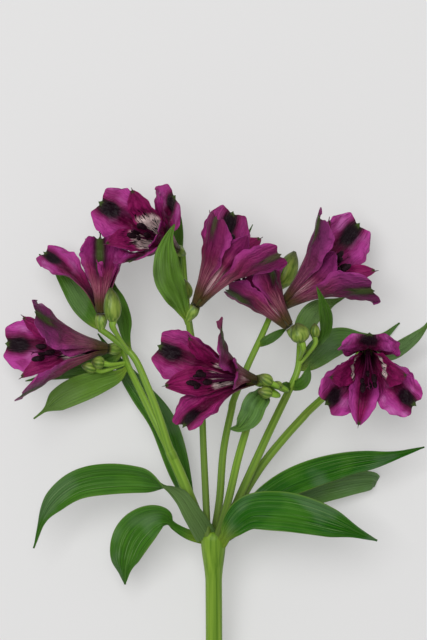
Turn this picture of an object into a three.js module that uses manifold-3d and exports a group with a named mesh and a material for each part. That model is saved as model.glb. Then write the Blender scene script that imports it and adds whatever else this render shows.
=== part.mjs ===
// Alstroemeria stem: one cut stem with an umbel of eight open flowers, laid on its side.
//
// Millimetres. The stem runs along Y with the flowers at +Y, and Z is up from the surface that it
// lies on. Places below are measured from the middle of the stem's swollen top, at the height of
// the surface; the finished group is shifted so that its origin is the bottom centre of its box.

import * as THREE from 'three';
import Module from 'manifold-3d';

// ---------------------------------------------------------------- driving dimensions

const GAP = 0.3; // clear space between neighbouring pieces
const STEM_RADIUS = 4.2;
const STEM_TOP_RADIUS = 6.3; // where the rays leave
const STEM_LENGTH = 150;
const STEM_SIDES = 12;
const RAY_SIDES = 6;
const RAY_TAPER = 0.12; // how much thinner a ray's trunk is at its fork
const LEAF_THICKNESS = 0.8;
const TEPAL_THICKNESS = 0.7;
const OVARY_LENGTH = 8;
const OVARY_RADIUS = 2.9;
const CORE_LENGTH = 4; // the receptacle that the tepals grow from
const CORE_RADIUS = 2.9;
const OUTER_TEPAL_LENGTH = 47;
const OUTER_TEPAL_HALF_WIDTH = 13.5;
const INNER_TEPAL_LENGTH = 45;
const INNER_TEPAL_HALF_WIDTH = 8;
const OUTER_ROOT_RADIUS = 2.6; // where the tepals stand round the receptacle
const INNER_ROOT_RADIUS = 1.7;
const FILAMENT_RADIUS = 0.45;
const FILAMENT_LENGTH = 34;
const ANTHER_LENGTH = 5.6;
const ANTHER_RADIUS = 1.25;
const FILAMENTS = 6;
const FILAMENT_SPREAD = 3.4; // how far apart the tips of the filaments stand from the axis
const FILAMENT_DROOP = 2.5;
const TEPAL_START = 0.8; // how far up the receptacle the tepals begin
const OUTER_RIPPLE = 1.3; // how far the rims wave out of their surface
const INNER_RIPPLE = 0.5;
const RIPPLE_TURNS = 2.4;
const LOBE_RISE = 18; // the two numbers that shape the lobed end of an outer tepal
const LOBE_FALL = 21.5;
const LEAF_FOLD = 20; // degrees that each half of a leaf turns up
const LEAF_WAVE = 0.6;
const LEAF_WAVES = 3;
const STALK_RADIUS = 0.9; // of the short stalk under a bud
const COPLANAR = 0.01; // faces that lie in one plane to within this are joined

const UP = new THREE.Vector3(0, 0, 1);
const DEGREE = Math.PI / 180;

// ---------------------------------------------------------------- numbers and curves

const point = (x, y, z) => new THREE.Vector3(x, y, z);
const blendTo = (a, b, k) => a + (b - a) * k;
const clamp01 = (k) => Math.min(1, Math.max(0, k));

function smooth(k) {
  const c = clamp01(k);
  return c * c * (3 - 2 * c);
}

// A value that runs through three keys, at the start, the middle and the end.
function throughThree(keys, s) {
  const [a, b, c] = keys;
  return a * 2 * (s - 0.5) * (s - 1) - b * 4 * s * (s - 1) + c * 2 * s * (s - 0.5);
}

// A value that eases between evenly spaced keys.
function throughKeys(keys, s) {
  const place = clamp01(s) * (keys.length - 1);
  const i = Math.min(Math.floor(place), keys.length - 2);
  return blendTo(keys[i], keys[i + 1], smooth(place - i));
}

// A smooth curve through points, read by its share of the length.
class Path {
  constructor(points) {
    const stops = points.map((p) => point(...p));
    stops.unshift(stops[0].clone().multiplyScalar(2).sub(stops[1]));
    stops.push(stops.at(-1).clone().multiplyScalar(2).sub(stops.at(-2)));
    this.places = [];
    const steps = 24;
    for (let i = 1; i < stops.length - 2; i += 1) {
      for (let k = 0; k < steps; k += 1) {
        this.places.push(Path.between(stops, i, k / steps));
      }
    }
    this.places.push(stops.at(-2).clone());
    this.lengths = [0];
    for (let i = 1; i < this.places.length; i += 1) {
      this.lengths.push(this.lengths[i - 1] + this.places[i].distanceTo(this.places[i - 1]));
    }
    this.length = this.lengths.at(-1);
  }

  static between(stops, i, k) {
    const [a, b, c, d] = [stops[i - 1], stops[i], stops[i + 1], stops[i + 2]];
    const curve = (p, q, r, t) => 0.5 * (2 * q + (r - p) * k
      + (2 * p - 5 * q + 4 * r - t) * k * k + (3 * q - p - 3 * r + t) * k * k * k);
    return point(curve(a.x, b.x, c.x, d.x), curve(a.y, b.y, c.y, d.y), curve(a.z, b.z, c.z, d.z));
  }

  at(s) {
    const goal = clamp01(s) * this.length;
    let i = 1;
    while (i < this.lengths.length - 1 && this.lengths[i] < goal) i += 1;
    const k = (goal - this.lengths[i - 1]) / (this.lengths[i] - this.lengths[i - 1]);
    return this.places[i - 1].clone().lerp(this.places[i], k);
  }

  direction(s) {
    const step = 0.01;
    return this.at(s + step).sub(this.at(s - step)).normalize();
  }
}

// A route whose first point is moved to the nearest place on the middle lines that carry it, or
// only towards it, by the share of the way that is left.
function seated(route, paths, left = 0) {
  const start = point(...route[0]);
  const places = paths.flatMap((path) => path.places);
  const nearer = (best, next) => (next.distanceTo(start) < best.distanceTo(start) ? next : best);
  const seat = places.reduce(nearer);
  return [seat.clone().lerp(start, left).toArray(), ...route.slice(1)];
}

// ---------------------------------------------------------------- solids

const wasm = await Module();
wasm.setup();

function solid(vertices, triangles) {
  const vertProperties = new Float32Array(vertices.flatMap((p) => [p.x, p.y, p.z]));
  const triVerts = new Uint32Array(triangles.flat());
  let made = new wasm.Manifold(new wasm.Mesh({ numProp: 3, vertProperties, triVerts }));
  if (made.volume() < 0) {
    const turned = new Uint32Array(triangles.flatMap(([a, b, c]) => [a, c, b]));
    made = new wasm.Manifold(new wasm.Mesh({ numProp: 3, vertProperties, triVerts: turned }));
  }
  return made;
}

// A closed solid through rings of points, each ring with as many points as the next.
function ringSolid(rings) {
  const sides = rings[0].length;
  const vertices = rings.flat();
  const triangles = [];
  for (let i = 0; i < rings.length - 1; i += 1) {
    for (let j = 0; j < sides; j += 1) {
      const a = i * sides + j;
      const b = i * sides + ((j + 1) % sides);
      triangles.push([a, b, b + sides], [a, b + sides, a + sides]);
    }
  }
  const last = (rings.length - 1) * sides;
  for (let j = 1; j < sides - 1; j += 1) {
    triangles.push([0, j + 1, j], [last, last + j, last + j + 1]);
  }
  return solid(vertices, triangles);
}

// A round bar along a path. radiusAt gives its radius by the share of the length.
function bar(path, radiusAt, sides, steps) {
  const rings = [];
  let side = path.direction(0).cross(Math.abs(path.direction(0).z) < 0.9 ? UP : point(1, 0, 0));
  for (let i = 0; i <= steps; i += 1) {
    const s = i / steps;
    const along = path.direction(s);
    side = side.addScaledVector(along, -side.dot(along)).normalize();
    const over = along.clone().cross(side);
    const centre = path.at(s);
    const radius = radiusAt(s);
    rings.push(Array.from({ length: sides }, (_, j) => {
      const turn = (j / sides) * Math.PI * 2;
      return centre.clone()
        .addScaledVector(side, Math.cos(turn) * radius)
        .addScaledVector(over, Math.sin(turn) * radius);
    }));
  }
  return ringSolid(rings);
}

// A turned body on an axis: profile is a list of [distance along, radius].
function turned(base, axis, profile, sides) {
  const side = axis.clone().cross(Math.abs(axis.z) < 0.9 ? UP : point(1, 0, 0)).normalize();
  const over = axis.clone().cross(side);
  const rings = profile.map(([along, radius]) => Array.from({ length: sides }, (_, j) => {
    const turn = (j / sides) * Math.PI * 2;
    return base.clone()
      .addScaledVector(axis, along)
      .addScaledVector(side, Math.cos(turn) * radius)
      .addScaledVector(over, Math.sin(turn) * radius);
  }));
  return ringSolid(rings);
}

// A thin closed blade round a grid of points, rows along it and columns across it.
function blade(grid, thickness) {
  const rows = grid.length;
  const columns = grid[0].length;
  const faces = [[], []];
  for (let i = 0; i < rows; i += 1) {
    for (let j = 0; j < columns; j += 1) {
      const along = grid[Math.min(i + 1, rows - 1)][j].clone().sub(grid[Math.max(i - 1, 0)][j]);
      const across = grid[i][Math.min(j + 1, columns - 1)].clone().sub(grid[i][Math.max(j - 1, 0)]);
      const normal = along.cross(across).normalize();
      faces[0].push(grid[i][j].clone().addScaledVector(normal, thickness / 2));
      faces[1].push(grid[i][j].clone().addScaledVector(normal, -thickness / 2));
    }
  }
  const under = rows * columns;
  const triangles = [];
  for (let i = 0; i < rows - 1; i += 1) {
    for (let j = 0; j < columns - 1; j += 1) {
      const a = i * columns + j;
      const b = a + 1;
      const c = a + columns + 1;
      const d = a + columns;
      triangles.push([a, b, c], [a, c, d]);
      triangles.push([under + a, under + c, under + b], [under + a, under + d, under + c]);
    }
  }
  const rim = [];
  for (let j = 0; j < columns - 1; j += 1) rim.push(j);
  for (let i = 0; i < rows - 1; i += 1) rim.push(i * columns + columns - 1);
  for (let j = columns - 1; j > 0; j -= 1) rim.push((rows - 1) * columns + j);
  for (let i = rows - 1; i > 0; i -= 1) rim.push(i * columns);
  rim.forEach((a, k) => {
    const b = rim[(k + 1) % rim.length];
    triangles.push([a, under + a, under + b], [a, under + b, b]);
  });
  return solid([...faces[0], ...faces[1]], triangles);
}

const join = (solids) => solids.reduce((all, next) => all.add(next));

function largestPiece(whole) {
  const pieces = whole.decompose();
  return pieces.reduce((best, next) => (next.volume() > best.volume() ? next : best));
}

// ---------------------------------------------------------------- leaves

// Half the width of a leaf by its share of the length: a narrow stalk, then a lance-shaped blade.
function leafHalfWidth(leaf, s) {
  const start = leaf.bladeStart ?? 0;
  const u = clamp01((s - start) / (1 - start));
  const lance = Math.sin(Math.PI * u ** (leaf.widest ?? 0.75)) ** (leaf.taper ?? 0.85);
  const tail = 1 - (leaf.tail ?? 0.3) * smooth((u - 0.7) / 0.2);
  const stalk = (leaf.stalk ?? 0.2) * (1 - smooth(s / 0.6));
  return leaf.halfWidth * Math.max(lance * tail, stalk, 0.05);
}

function leafGrid(leaf, rows, columns) {
  const path = new Path(leaf.route);
  const grid = [];
  for (let i = 0; i <= rows; i += 1) {
    const s = i / rows;
    const along = path.direction(s);
    const level = along.clone().cross(UP).normalize();
    const over = level.clone().cross(along);
    const roll = throughKeys(leaf.roll ?? [0, 0], s) * DEGREE;
    const side = level.clone().multiplyScalar(Math.cos(roll)).addScaledVector(over, Math.sin(roll));
    const face = over.clone().multiplyScalar(Math.cos(roll)).addScaledVector(level, -Math.sin(roll));
    const half = leafHalfWidth(leaf, s);
    const bend = LEAF_FOLD * DEGREE;
    const centre = path.at(s);
    const row = [];
    for (let j = 0; j <= columns; j += 1) {
      const t = (j / columns) * 2 - 1;
      const out = Math.sin(bend * Math.abs(t)) / bend * Math.sign(t);
      const lift = (1 - Math.cos(bend * t)) / bend;
      const phase = s * LEAF_WAVES * 2 * Math.PI + (t > 0 ? 0 : 2);
      const wave = (leaf.wave ?? LEAF_WAVE) * t * t * Math.sin(phase);
      row.push(centre.clone()
        .addScaledVector(side, half * out)
        .addScaledVector(face, half * lift + wave * Math.min(1, half / 4)));
    }
    grid.push(row);
  }
  return grid;
}

// ---------------------------------------------------------------- flowers

// The six tepals, turned from the flower's upper side, anticlockwise seen from its front.
const OUTER = { length: OUTER_TEPAL_LENGTH, halfWidth: OUTER_TEPAL_HALF_WIDTH, root: OUTER_ROOT_RADIUS,
  open: [15, 25, 46], fold: [46, 36, 10], roll: 0, outer: true };
const INNER = { length: INNER_TEPAL_LENGTH, halfWidth: INNER_TEPAL_HALF_WIDTH, root: INNER_ROOT_RADIUS,
  open: [11, 18, 38], fold: [40, 34, 12], roll: 0, outer: false };
const TEPALS = {
  top: { ...OUTER, azimuth: 0 },
  left: { ...OUTER, azimuth: 120 },
  right: { ...OUTER, azimuth: 240 },
  innerLeft: { ...INNER, azimuth: 60 },
  innerRight: { ...INNER, azimuth: 300 },
  innerLow: { ...INNER, azimuth: 180 },
};

function tepalHalfWidth(tepal, s) {
  const root = blendTo(0.6, 1, smooth(s / 0.15));
  if (tepal.outer) {
    const spread = blendTo(0.32, 1, smooth((s - 0.15) / 0.62));
    return tepal.halfWidth * root * spread * (1 - 0.2 * clamp01((s - 0.8) / 0.2) ** 2);
  }
  const spread = blendTo(0.3, 1, smooth((s - 0.15) / 0.5));
  return tepal.halfWidth * root * spread * (1 - 0.88 * clamp01((s - 0.62) / 0.38) ** 2.2);
}

// How far the end of a tepal runs past its spine: round shoulders, and a notch with a short point.
function tepalEnd(tepal, s, t) {
  if (!tepal.outer) return 0;
  const lobes = LOBE_RISE * t * t - LOBE_FALL * t * t * Math.abs(t);
  return lobes * clamp01((s - 0.66) / 0.34) ** 2;
}

const SPINE_STEPS = 48;

// Stations along a tepal's middle, each with its place, direction, side and inner face.
function tepalSpine(flower, tepal) {
  const axis = flower.axis;
  const turn = tepal.azimuth * DEGREE;
  const leftward = axis.clone().cross(flower.up);
  const outward = flower.up.clone().multiplyScalar(Math.cos(turn))
    .addScaledVector(leftward, Math.sin(turn));
  const sideways = axis.clone().cross(outward);
  const place = flower.base.clone().addScaledVector(outward, tepal.root * flower.size)
    .addScaledVector(axis, TEPAL_START);
  const step = tepal.length * flower.size / SPINE_STEPS;
  const stations = [];
  for (let k = 0; k <= SPINE_STEPS; k += 1) {
    const s = k / SPINE_STEPS;
    const open = throughThree(tepal.open, s) * DEGREE;
    const along = axis.clone().multiplyScalar(Math.cos(open)).addScaledVector(outward, Math.sin(open));
    const inside = along.clone().cross(sideways);
    const roll = tepal.roll * s * s * DEGREE;
    const side = sideways.clone().multiplyScalar(Math.cos(roll)).addScaledVector(inside, Math.sin(roll));
    const face = inside.clone().multiplyScalar(Math.cos(roll)).addScaledVector(sideways, -Math.sin(roll));
    stations.push({ place: place.clone(), along, side, face });
    place.addScaledVector(along, step);
  }
  return stations;
}

function tepalGrid(flower, tepal, rows, columns) {
  const spine = tepalSpine(flower, tepal);
  const grid = [];
  for (let i = 0; i <= rows; i += 1) {
    const s = i / rows;
    const { place, along, side, face } = spine[Math.round(s * SPINE_STEPS)];
    const half = tepalHalfWidth(tepal, s) * flower.size;
    const bend = throughThree(tepal.fold, s) * DEGREE;
    const row = [];
    for (let j = 0; j <= columns; j += 1) {
      const t = (j / columns) * 2 - 1;
      const out = Math.sin(bend * t) / bend;
      const lift = (1 - Math.cos(bend * t)) / bend;
      const ripple = (tepal.outer ? OUTER_RIPPLE : INNER_RIPPLE) * Math.abs(t) ** 3
        * smooth((s - 0.35) / 0.3)
        * Math.sin((s * RIPPLE_TURNS + (t > 0 ? 0.1 : 0.55)) * 2 * Math.PI);
      row.push(place.clone()
        .addScaledVector(side, half * out)
        .addScaledVector(face, half * lift + ripple)
        .addScaledVector(along, tepalEnd(tepal, s, t) * flower.size));
    }
    grid.push(row);
  }
  return grid;
}

function bloom(flower) {
  const size = flower.size;
  const core = turned(flower.base, flower.axis, [
    [GAP, 2.2 * size],
    [1.4, CORE_RADIUS * size],
    [CORE_LENGTH, CORE_RADIUS * size],
  ], 8);
  const tepals = Object.keys(TEPALS).map((name) => {
    const tepal = { ...TEPALS[name], ...(flower.tepals[name] ?? {}) };
    const grid = tepal.outer ? tepalGrid(flower, tepal, 6, 4) : tepalGrid(flower, tepal, 6, 2);
    return blade(grid, TEPAL_THICKNESS);
  });
  return largestPiece(join([core, ...tepals]));
}

// Filaments leave one foot and droop to the flower's lower side, each with an anther at its tip.
function stamens(flower) {
  const { base, axis, up, size } = flower;
  const leftward = axis.clone().cross(up);
  const sag = point(0, -1, 0);
  sag.addScaledVector(axis, -sag.dot(axis)).normalize();
  const foot = base.clone().addScaledVector(axis, CORE_LENGTH + GAP);
  const pieces = [turned(foot, axis, [[0, 1.3], [1.4, 1.3]], 6)];
  for (let k = 0; k <= FILAMENTS; k += 1) {
    const style = k === FILAMENTS;
    const turn = (k / FILAMENTS) * Math.PI * 2 + 0.4;
    const spread = style ? 0 : FILAMENT_SPREAD;
    const reach = (style ? 1.02 : 0.86 + 0.07 * Math.cos(k * 2.4)) * FILAMENT_LENGTH * size;
    const sideways = Math.cos(turn) * spread;
    const upward = Math.sin(turn) * spread;
    const droop = flower.droop ?? FILAMENT_DROOP;
    const stop = (share, open, fall) => {
      const p = foot.clone().addScaledVector(axis, 0.6 + reach * share)
        .addScaledVector(leftward, sideways * open)
        .addScaledVector(up, upward * open)
        .addScaledVector(sag, droop * fall);
      return [p.x, p.y, p.z];
    };
    const path = new Path([stop(0, 0.26, 0), stop(0.45, 0.4, 0.2), stop(1, 1, 1)]);
    pieces.push(bar(path, () => FILAMENT_RADIUS, 3, 2));
    if (!style) {
      const tip = path.at(1);
      const lie = path.direction(1).addScaledVector(up, 0.5 * Math.sin(turn * 2)).normalize();
      const back = tip.clone().addScaledVector(lie, -ANTHER_LENGTH * 0.35);
      pieces.push(turned(back, lie, [
        [0, ANTHER_RADIUS * 0.7],
        [ANTHER_LENGTH * 0.5, ANTHER_RADIUS],
        [ANTHER_LENGTH, ANTHER_RADIUS * 0.5],
      ], 4));
    }
  }
  return largestPiece(join(pieces));
}

// ---------------------------------------------------------------- what is where

const flowerAt = (base, axis, up, extra = {}) => {
  const facing = point(...axis).normalize();
  const upper = point(...up);
  upper.addScaledVector(facing, -upper.dot(facing)).normalize();
  return { base: point(...base), axis: facing, up: upper, size: 1, tepals: {}, ...extra };
};

// Each flower: where its tepals leave the ovary, the way it faces, and its upper side.
const FLOWERS = [
  flowerAt([-54, 98, 26], [-0.9, 0.02, 0.42], [0, 0.05, -1], {
    tepals: {
      top: { open: [15, 24, 42], length: 49 },
      right: { open: [15, 26, 36], length: 50, azimuth: 228, roll: -12 },
      left: { open: [15, 28, 26], length: 54, azimuth: 116 },
      innerLow: { open: [11, 13, 16], length: 36, azimuth: 216 },
      innerLeft: { open: [11, 20, 40] },
    },
  }),
  flowerAt([-56.5, 116, 40], [0, 0.98, 0.12], [0, 0.1, 0.99], {
    tepals: {
      top: { open: [12, 11, 14], length: 38, halfWidth: 10.5 },
      right: { open: [20, 52, 60], length: 42, halfWidth: 9, roll: -50 },
      left: { open: [12, 12, 10], length: 36 },
      innerLeft: { open: [10, 10, 10], length: 36 },
      innerRight: { open: [10, 10, 10], length: 36 },
      innerLow: { open: [10, 14, 20], length: 36 },
    },
  }),
  flowerAt([-19.5, 148.5, 33], [-0.48, 0.28, 0.83], [-0.9, 0.4, -0.6], {
    tepals: {
      top: { open: [15, 30, 58], length: 45, azimuth: 353 },
      right: { open: [15, 28, 50], length: 44, azimuth: 236 },
      left: { open: [15, 22, 34] },
    },
  }),
  flowerAt([20, 83, 70], [-0.76, 0.1, 0.64], [0, 0.32, -0.94], {
    tepals: {
      top: { open: [15, 30, 46], length: 48 },
      right: { open: [15, 34, 52], length: 51, azimuth: 250, halfWidth: 11.5, roll: -32 },
      left: { open: [15, 32, 52], length: 44, azimuth: 105 },
      innerLow: { open: [11, 34, 60], length: 34, azimuth: 216 },
      innerLeft: { open: [11, 20, 38], azimuth: 50 },
    },
  }),
  flowerAt([-8.5, 120, 60], [0.5, 0.85, 0.2], [-0.3, 0.2, -0.93], {
    tepals: {
      top: { open: [14, 22, 30], length: 48 },
      left: { open: [14, 20, 22], length: 46, azimuth: 113, halfWidth: 11, fold: [46, 44, 36] },
      right: { open: [14, 27, 36], length: 48, azimuth: 230, halfWidth: 11.5, roll: -50 },
      innerLow: { open: [11, 14, 16] },
    },
  }),
  flowerAt([38, 109, 42], [-0.62, 0.77, -0.12], [0.05, 0.1, -0.99], {
    size: 0.94,
    tepals: {
      top: { open: [14, 20, 30], length: 38 },
      left: { open: [14, 20, 22], length: 36, fold: [46, 44, 36] },
      right: { open: [14, 24, 30], length: 39 },
      innerLow: { open: [11, 12, 14], length: 34 },
      innerLeft: { length: 36 },
      innerRight: { length: 36 },
    },
  }),
  flowerAt([35, 120, 32], [0.74, 0.62, 0.36], [-0.15, 0.2, -0.97], {
    size: 1.08,
    tepals: {
      top: { open: [14, 24, 34], length: 50 },
      left: { open: [14, 30, 42], length: 54, halfWidth: 10, fold: [46, 60, 66] },
      right: { open: [14, 28, 38], length: 46, azimuth: 227, roll: -35 },
      innerLow: { open: [11, 14, 18], length: 40, azimuth: 150 },
      innerRight: { open: [11, 20, 34], azimuth: 285 },
    },
  }),
  flowerAt([78, 98, 30], [-0.04, -0.4, 0.9], [0, 1, 0.3], {
    droop: 2,
    tepals: {
      top: { open: [15, 28, 60], length: 44, halfWidth: 15.5 },
      left: { open: [15, 30, 46], length: 43, azimuth: 122, halfWidth: 12.5 },
      right: { open: [15, 34, 56], length: 43, azimuth: 239, halfWidth: 12.5 },
      innerLeft: { open: [11, 22, 40], azimuth: 80, halfWidth: 9 },
      innerRight: { open: [11, 22, 40], azimuth: 286, halfWidth: 9 },
      innerLow: { open: [11, 28, 62], length: 46, azimuth: 169 },
    },
  }),
];

// Each bud: where it leaves its stalk, its tip, how fat it is, and where its stalk leaves the ray.
const BUDS = [
  { base: [-55, 90.5, 33], tip: [-61.5, 91.5, 34], radius: 3.3, stalk: [-47, 90, 29] },
  { base: [-59, 87.5, 30], tip: [-66.5, 89.5, 32], radius: 2.8, stalk: [-47, 89, 28] },
  { base: [-49.8, 111.5, 56], tip: [-51, 128.5, 58], radius: 4.4, stalk: [-42, 96, 43] },
  { base: [-13.6, 122.5, 53], tip: [-15, 133, 54], radius: 3.7, stalk: [-10.5, 103, 49] },
  { base: [-14.6, 116, 44], tip: [-16.4, 120.5, 44], radius: 1.6, stalk: [-10.5, 103, 48] },
  { base: [33.5, 129.2, 18], tip: [41.5, 147.5, 16], radius: 5.6, stalk: [25, 106, 33] },
  { base: [43.5, 101.5, 60], tip: [41, 111, 62], radius: 5, stalk: [43, 93, 51] },
  { base: [50.4, 103.5, 50], tip: [50.4, 111, 50], radius: 2.6, stalk: [43, 90, 50] },
  { base: [28.5, 81.5, 78], tip: [22, 85.5, 81], radius: 3, stalk: [29, 79, 67] },
  { base: [28.5, 76.4, 77], tip: [21.5, 77.8, 80], radius: 3, stalk: [29, 79, 67] },
  { base: [33.5, 79.5, 70], tip: [29.5, 82, 73], radius: 1.9, stalk: [29, 79, 67] },
];

// A ray's trunk ends in the stalks of its flowers; buds sit on short side stalks.
const RAYS = [
  {
    trunk: [[-4, 3, 34], [-10, 18, 36], [-16, 33, 38], [-22, 47, 41]],
    radius: 3.0,
    branches: [
      { route: [[-30, 63, 40], [-37, 77, 36], [-43, 89, 30]], flower: 0 },
      { route: [[-27, 63, 43], [-33, 79, 44], [-40, 94, 43], [-50, 103, 41]], flower: 1 },
    ],
    buds: [0, 1, 2],
  },
  {
    trunk: [[-3, 4, 39], [-5, 47, 44], [-6, 72, 45], [-8, 88, 47], [-10, 100, 49]],
    radius: 1.8,
    branches: [
      { route: [[-12, 107, 53]], flower: 4 },
      { route: [[-12, 112, 41], [-14, 127, 26]], flower: 2 },
    ],
    buds: [3, 4],
  },
  {
    trunk: [[0, 3, 29], [3, 22, 32], [5, 47, 34], [10, 72, 36]],
    radius: 2.0,
    branches: [{ route: [[17, 89, 36], [24, 104, 33]], flower: 6 }],
    buds: [5],
  },
  {
    trunk: [[2, 4, 39], [7, 21, 45], [12, 43, 53], [17, 61, 60]],
    radius: 2.1,
    branches: [{ route: [[23, 73, 63]], flower: 3 }],
    buds: [8, 9, 10],
  },
  {
    trunk: [[4, 3, 32], [11, 19, 35], [19, 37, 39], [28, 57, 43], [37, 76, 47]],
    radius: 2.2,
    branches: [{ route: [[42, 88, 49]], flower: 5 }],
    buds: [6, 7],
  },
  {
    trunk: [[5, 4, 36], [12, 19, 33], [23, 37, 30], [35, 52, 27], [48, 66, 22]],
    radius: 2.3,
    branches: [{ route: [[62, 79, 17], [72, 92, 15]], flower: 7 }],
    buds: [],
  },
];

const WHORL_LEAVES = [
  { route: [[-5.5, 3, 40], [-10, 15, 47], [-18, 26, 48], [-32, 32, 46], [-52, 33, 43], [-70, 29, 40],
    [-84, 16, 34], [-91, -3, 28]],
  halfWidth: 8, stalk: 0.7, bladeStart: 0.22, widest: 0.8, tail: 0.55, roll: [180, 170, 10, 0, 0, 0] },
  { route: [[-5, 2, 33], [-12, 4, 32], [-19, 8, 34], [-25, 13, 38], [-33, 11, 38], [-41, 3, 34],
    [-45, -9, 28], [-45, -22, 20]], halfWidth: 10, stalk: 0.3, bladeStart: 0.28, widest: 0.8 },
  { route: [[-4, 3, 28], [-14, 26, 22], [-25, 58, 14], [-37.5, 75.5, 10], [-50.5, 93, 6],
    [-59.5, 105.5, 4]],
    halfWidth: 7, stalk: 0.3, bladeStart: 0.15 },
  { route: [[4, 4, 30], [17, 17, 36], [33, 28, 38], [49, 35, 36], [68, 40, 32], [88, 43, 28],
    [107, 48, 24]],
    halfWidth: 7.2, stalk: 0.25, bladeStart: 0.12 },
  { route: [[4, 0, 28], [16, 7, 22], [31, 16, 18], [49, 24, 14], [67, 28.5, 11], [80, 30, 7.5],
    [84, 29, 1.6]],
    halfWidth: 7, stalk: 0.25, bladeStart: 0.2, widest: 1.1, tail: 0, taper: 0.3 },
  { route: [[5.5, -1, 40], [9, 9, 48], [18, 17, 55], [31, 18, 58], [44, 16, 57], [60, 11, 52], [82, 2, 42]],
    halfWidth: 10, stalk: 0.3, bladeStart: 0.05, widest: 0.8 },
];

const BRACTS = [
  { route: [[-59, 110, 37], [-67, 121, 27], [-74, 132, 20], [-81, 141, 17], [-89, 146, 17]],
    halfWidth: 5.5 },
  { route: [[-40, 96, 42], [-44, 105, 39], [-45, 112, 36], [-49, 123, 32], [-52, 134, 28]], halfWidth: 4.5,
    widest: 1.3 },
  { route: [[-44, 88, 29], [-49, 84, 26], [-58, 81, 25], [-69, 77, 22], [-77, 73, 20], [-84, 68, 17],
    [-92, 62, 12]], halfWidth: 7, widest: 1, tail: 0.75 },
  { route: [[-46, 96, 23], [-53, 92.5, 15], [-63, 88, 9], [-79, 85, 4], [-97, 81, 0.6]], halfWidth: 4.2 },
  { route: [[-14, 114, 53], [-18, 124, 65], [-22, 133, 73], [-23, 143, 80], [-22, 152, 83], [-19, 159, 84]],
    halfWidth: 7.2, widest: 1.05, wave: 1.6 },
  { route: [[-12, 118, 34], [-16, 129, 24], [-19, 143, 16], [-18, 158, 14], [-19, 170, 16], [-24, 178, 20]],
    halfWidth: 3.4 },
  { route: [[-9, 119, 36], [1, 133, 26], [13, 148, 22], [20, 161, 24]], halfWidth: 3 },
  { route: [[23, 99, 36], [30, 104, 36], [38, 109, 34]], halfWidth: 2.4 },
  { route: [[25, 78, 64], [23.5, 75.5, 72], [20, 71, 77], [18, 66, 76], [13, 60, 73], [8, 59, 70]],
    halfWidth: 6, widest: 1, wave: 1.5 },
  { route: [[43, 101, 44], [45, 108, 36], [50, 116, 28], [57, 120, 20], [67, 124, 13]], halfWidth: 5.5 },
  { route: [[43, 96, 47], [50, 98.5, 43], [55.5, 105, 44], [56, 113, 52], [54, 121, 59], [51, 129, 62]],
    halfWidth: 3.4, widest: 1.4 },
  { route: [[42, 88, 49], [47, 91, 41], [53, 96, 30], [59, 100, 20], [66, 102, 12], [76, 101, 6],
    [86, 103, 3], [96, 111, 0.6]], halfWidth: 7.5 },
  { route: [[75, 96, 17], [83, 95, 13], [91, 96, 15], [99, 101, 19], [106, 107, 22], [111, 114, 24]],
    halfWidth: 4 },
  { route: [[40, 77, 50], [45, 82, 52], [48, 91, 53]], halfWidth: 3 },
  { route: [[38, 78, 53], [34, 79, 58], [30, 79, 63]], halfWidth: 2.8 },
];

// ---------------------------------------------------------------- the finished group

const group = new THREE.Group();

const MATERIALS = {
  stem: new THREE.MeshStandardMaterial({ color: 0x5f8f2e, roughness: 0.5, metalness: 0 }),
  leaf: new THREE.MeshStandardMaterial({ color: 0x3f7a2a, roughness: 0.45, metalness: 0 }),
  tepal: new THREE.MeshStandardMaterial({ color: 0x7b1a66, roughness: 0.55, metalness: 0 }),
  stamen: new THREE.MeshStandardMaterial({ color: 0x3a1228, roughness: 0.6, metalness: 0 }),
  bud: new THREE.MeshStandardMaterial({ color: 0x6f8c3c, roughness: 0.5, metalness: 0 }),
};

function addPart(name, shape, material) {
  const data = shape.asOriginal().simplify(COPLANAR).getMesh();
  const geometry = new THREE.BufferGeometry();
  geometry.setAttribute('position', new THREE.BufferAttribute(Float32Array.from(data.vertProperties), 3));
  geometry.setIndex(new THREE.BufferAttribute(Uint32Array.from(data.triVerts), 1));
  geometry.computeVertexNormals();
  const mesh = new THREE.Mesh(geometry, material);
  mesh.name = name;
  group.add(mesh);
}

const STEM_PATH = new Path([
  [0, 6, 36], [0, 0, 35], [0.3, -50, 25], [0.2, -100, 14.5], [0, -STEM_LENGTH, STEM_RADIUS],
]);

function mainStem(grow = 0) {
  const swell = (s) => blendTo(STEM_TOP_RADIUS, STEM_RADIUS, smooth((s - 0.03) / 0.14));
  const radius = (s) => grow + swell(s) * (s < 0.01 ? 0.75 : 1);
  return bar(STEM_PATH, radius, STEM_SIDES, 12);
}

const neckOf = (flower) => flower.base.clone().addScaledVector(flower.axis, -OVARY_LENGTH - 0.5);

// The middle lines of a ray: its trunk, then its branches.
function rayPaths(plan) {
  const branches = plan.branches.map(({ route, flower }) => (
    new Path([plan.trunk.at(-1), ...route, neckOf(FLOWERS[flower]).toArray()])));
  return [new Path(plan.trunk), ...branches];
}

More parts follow.
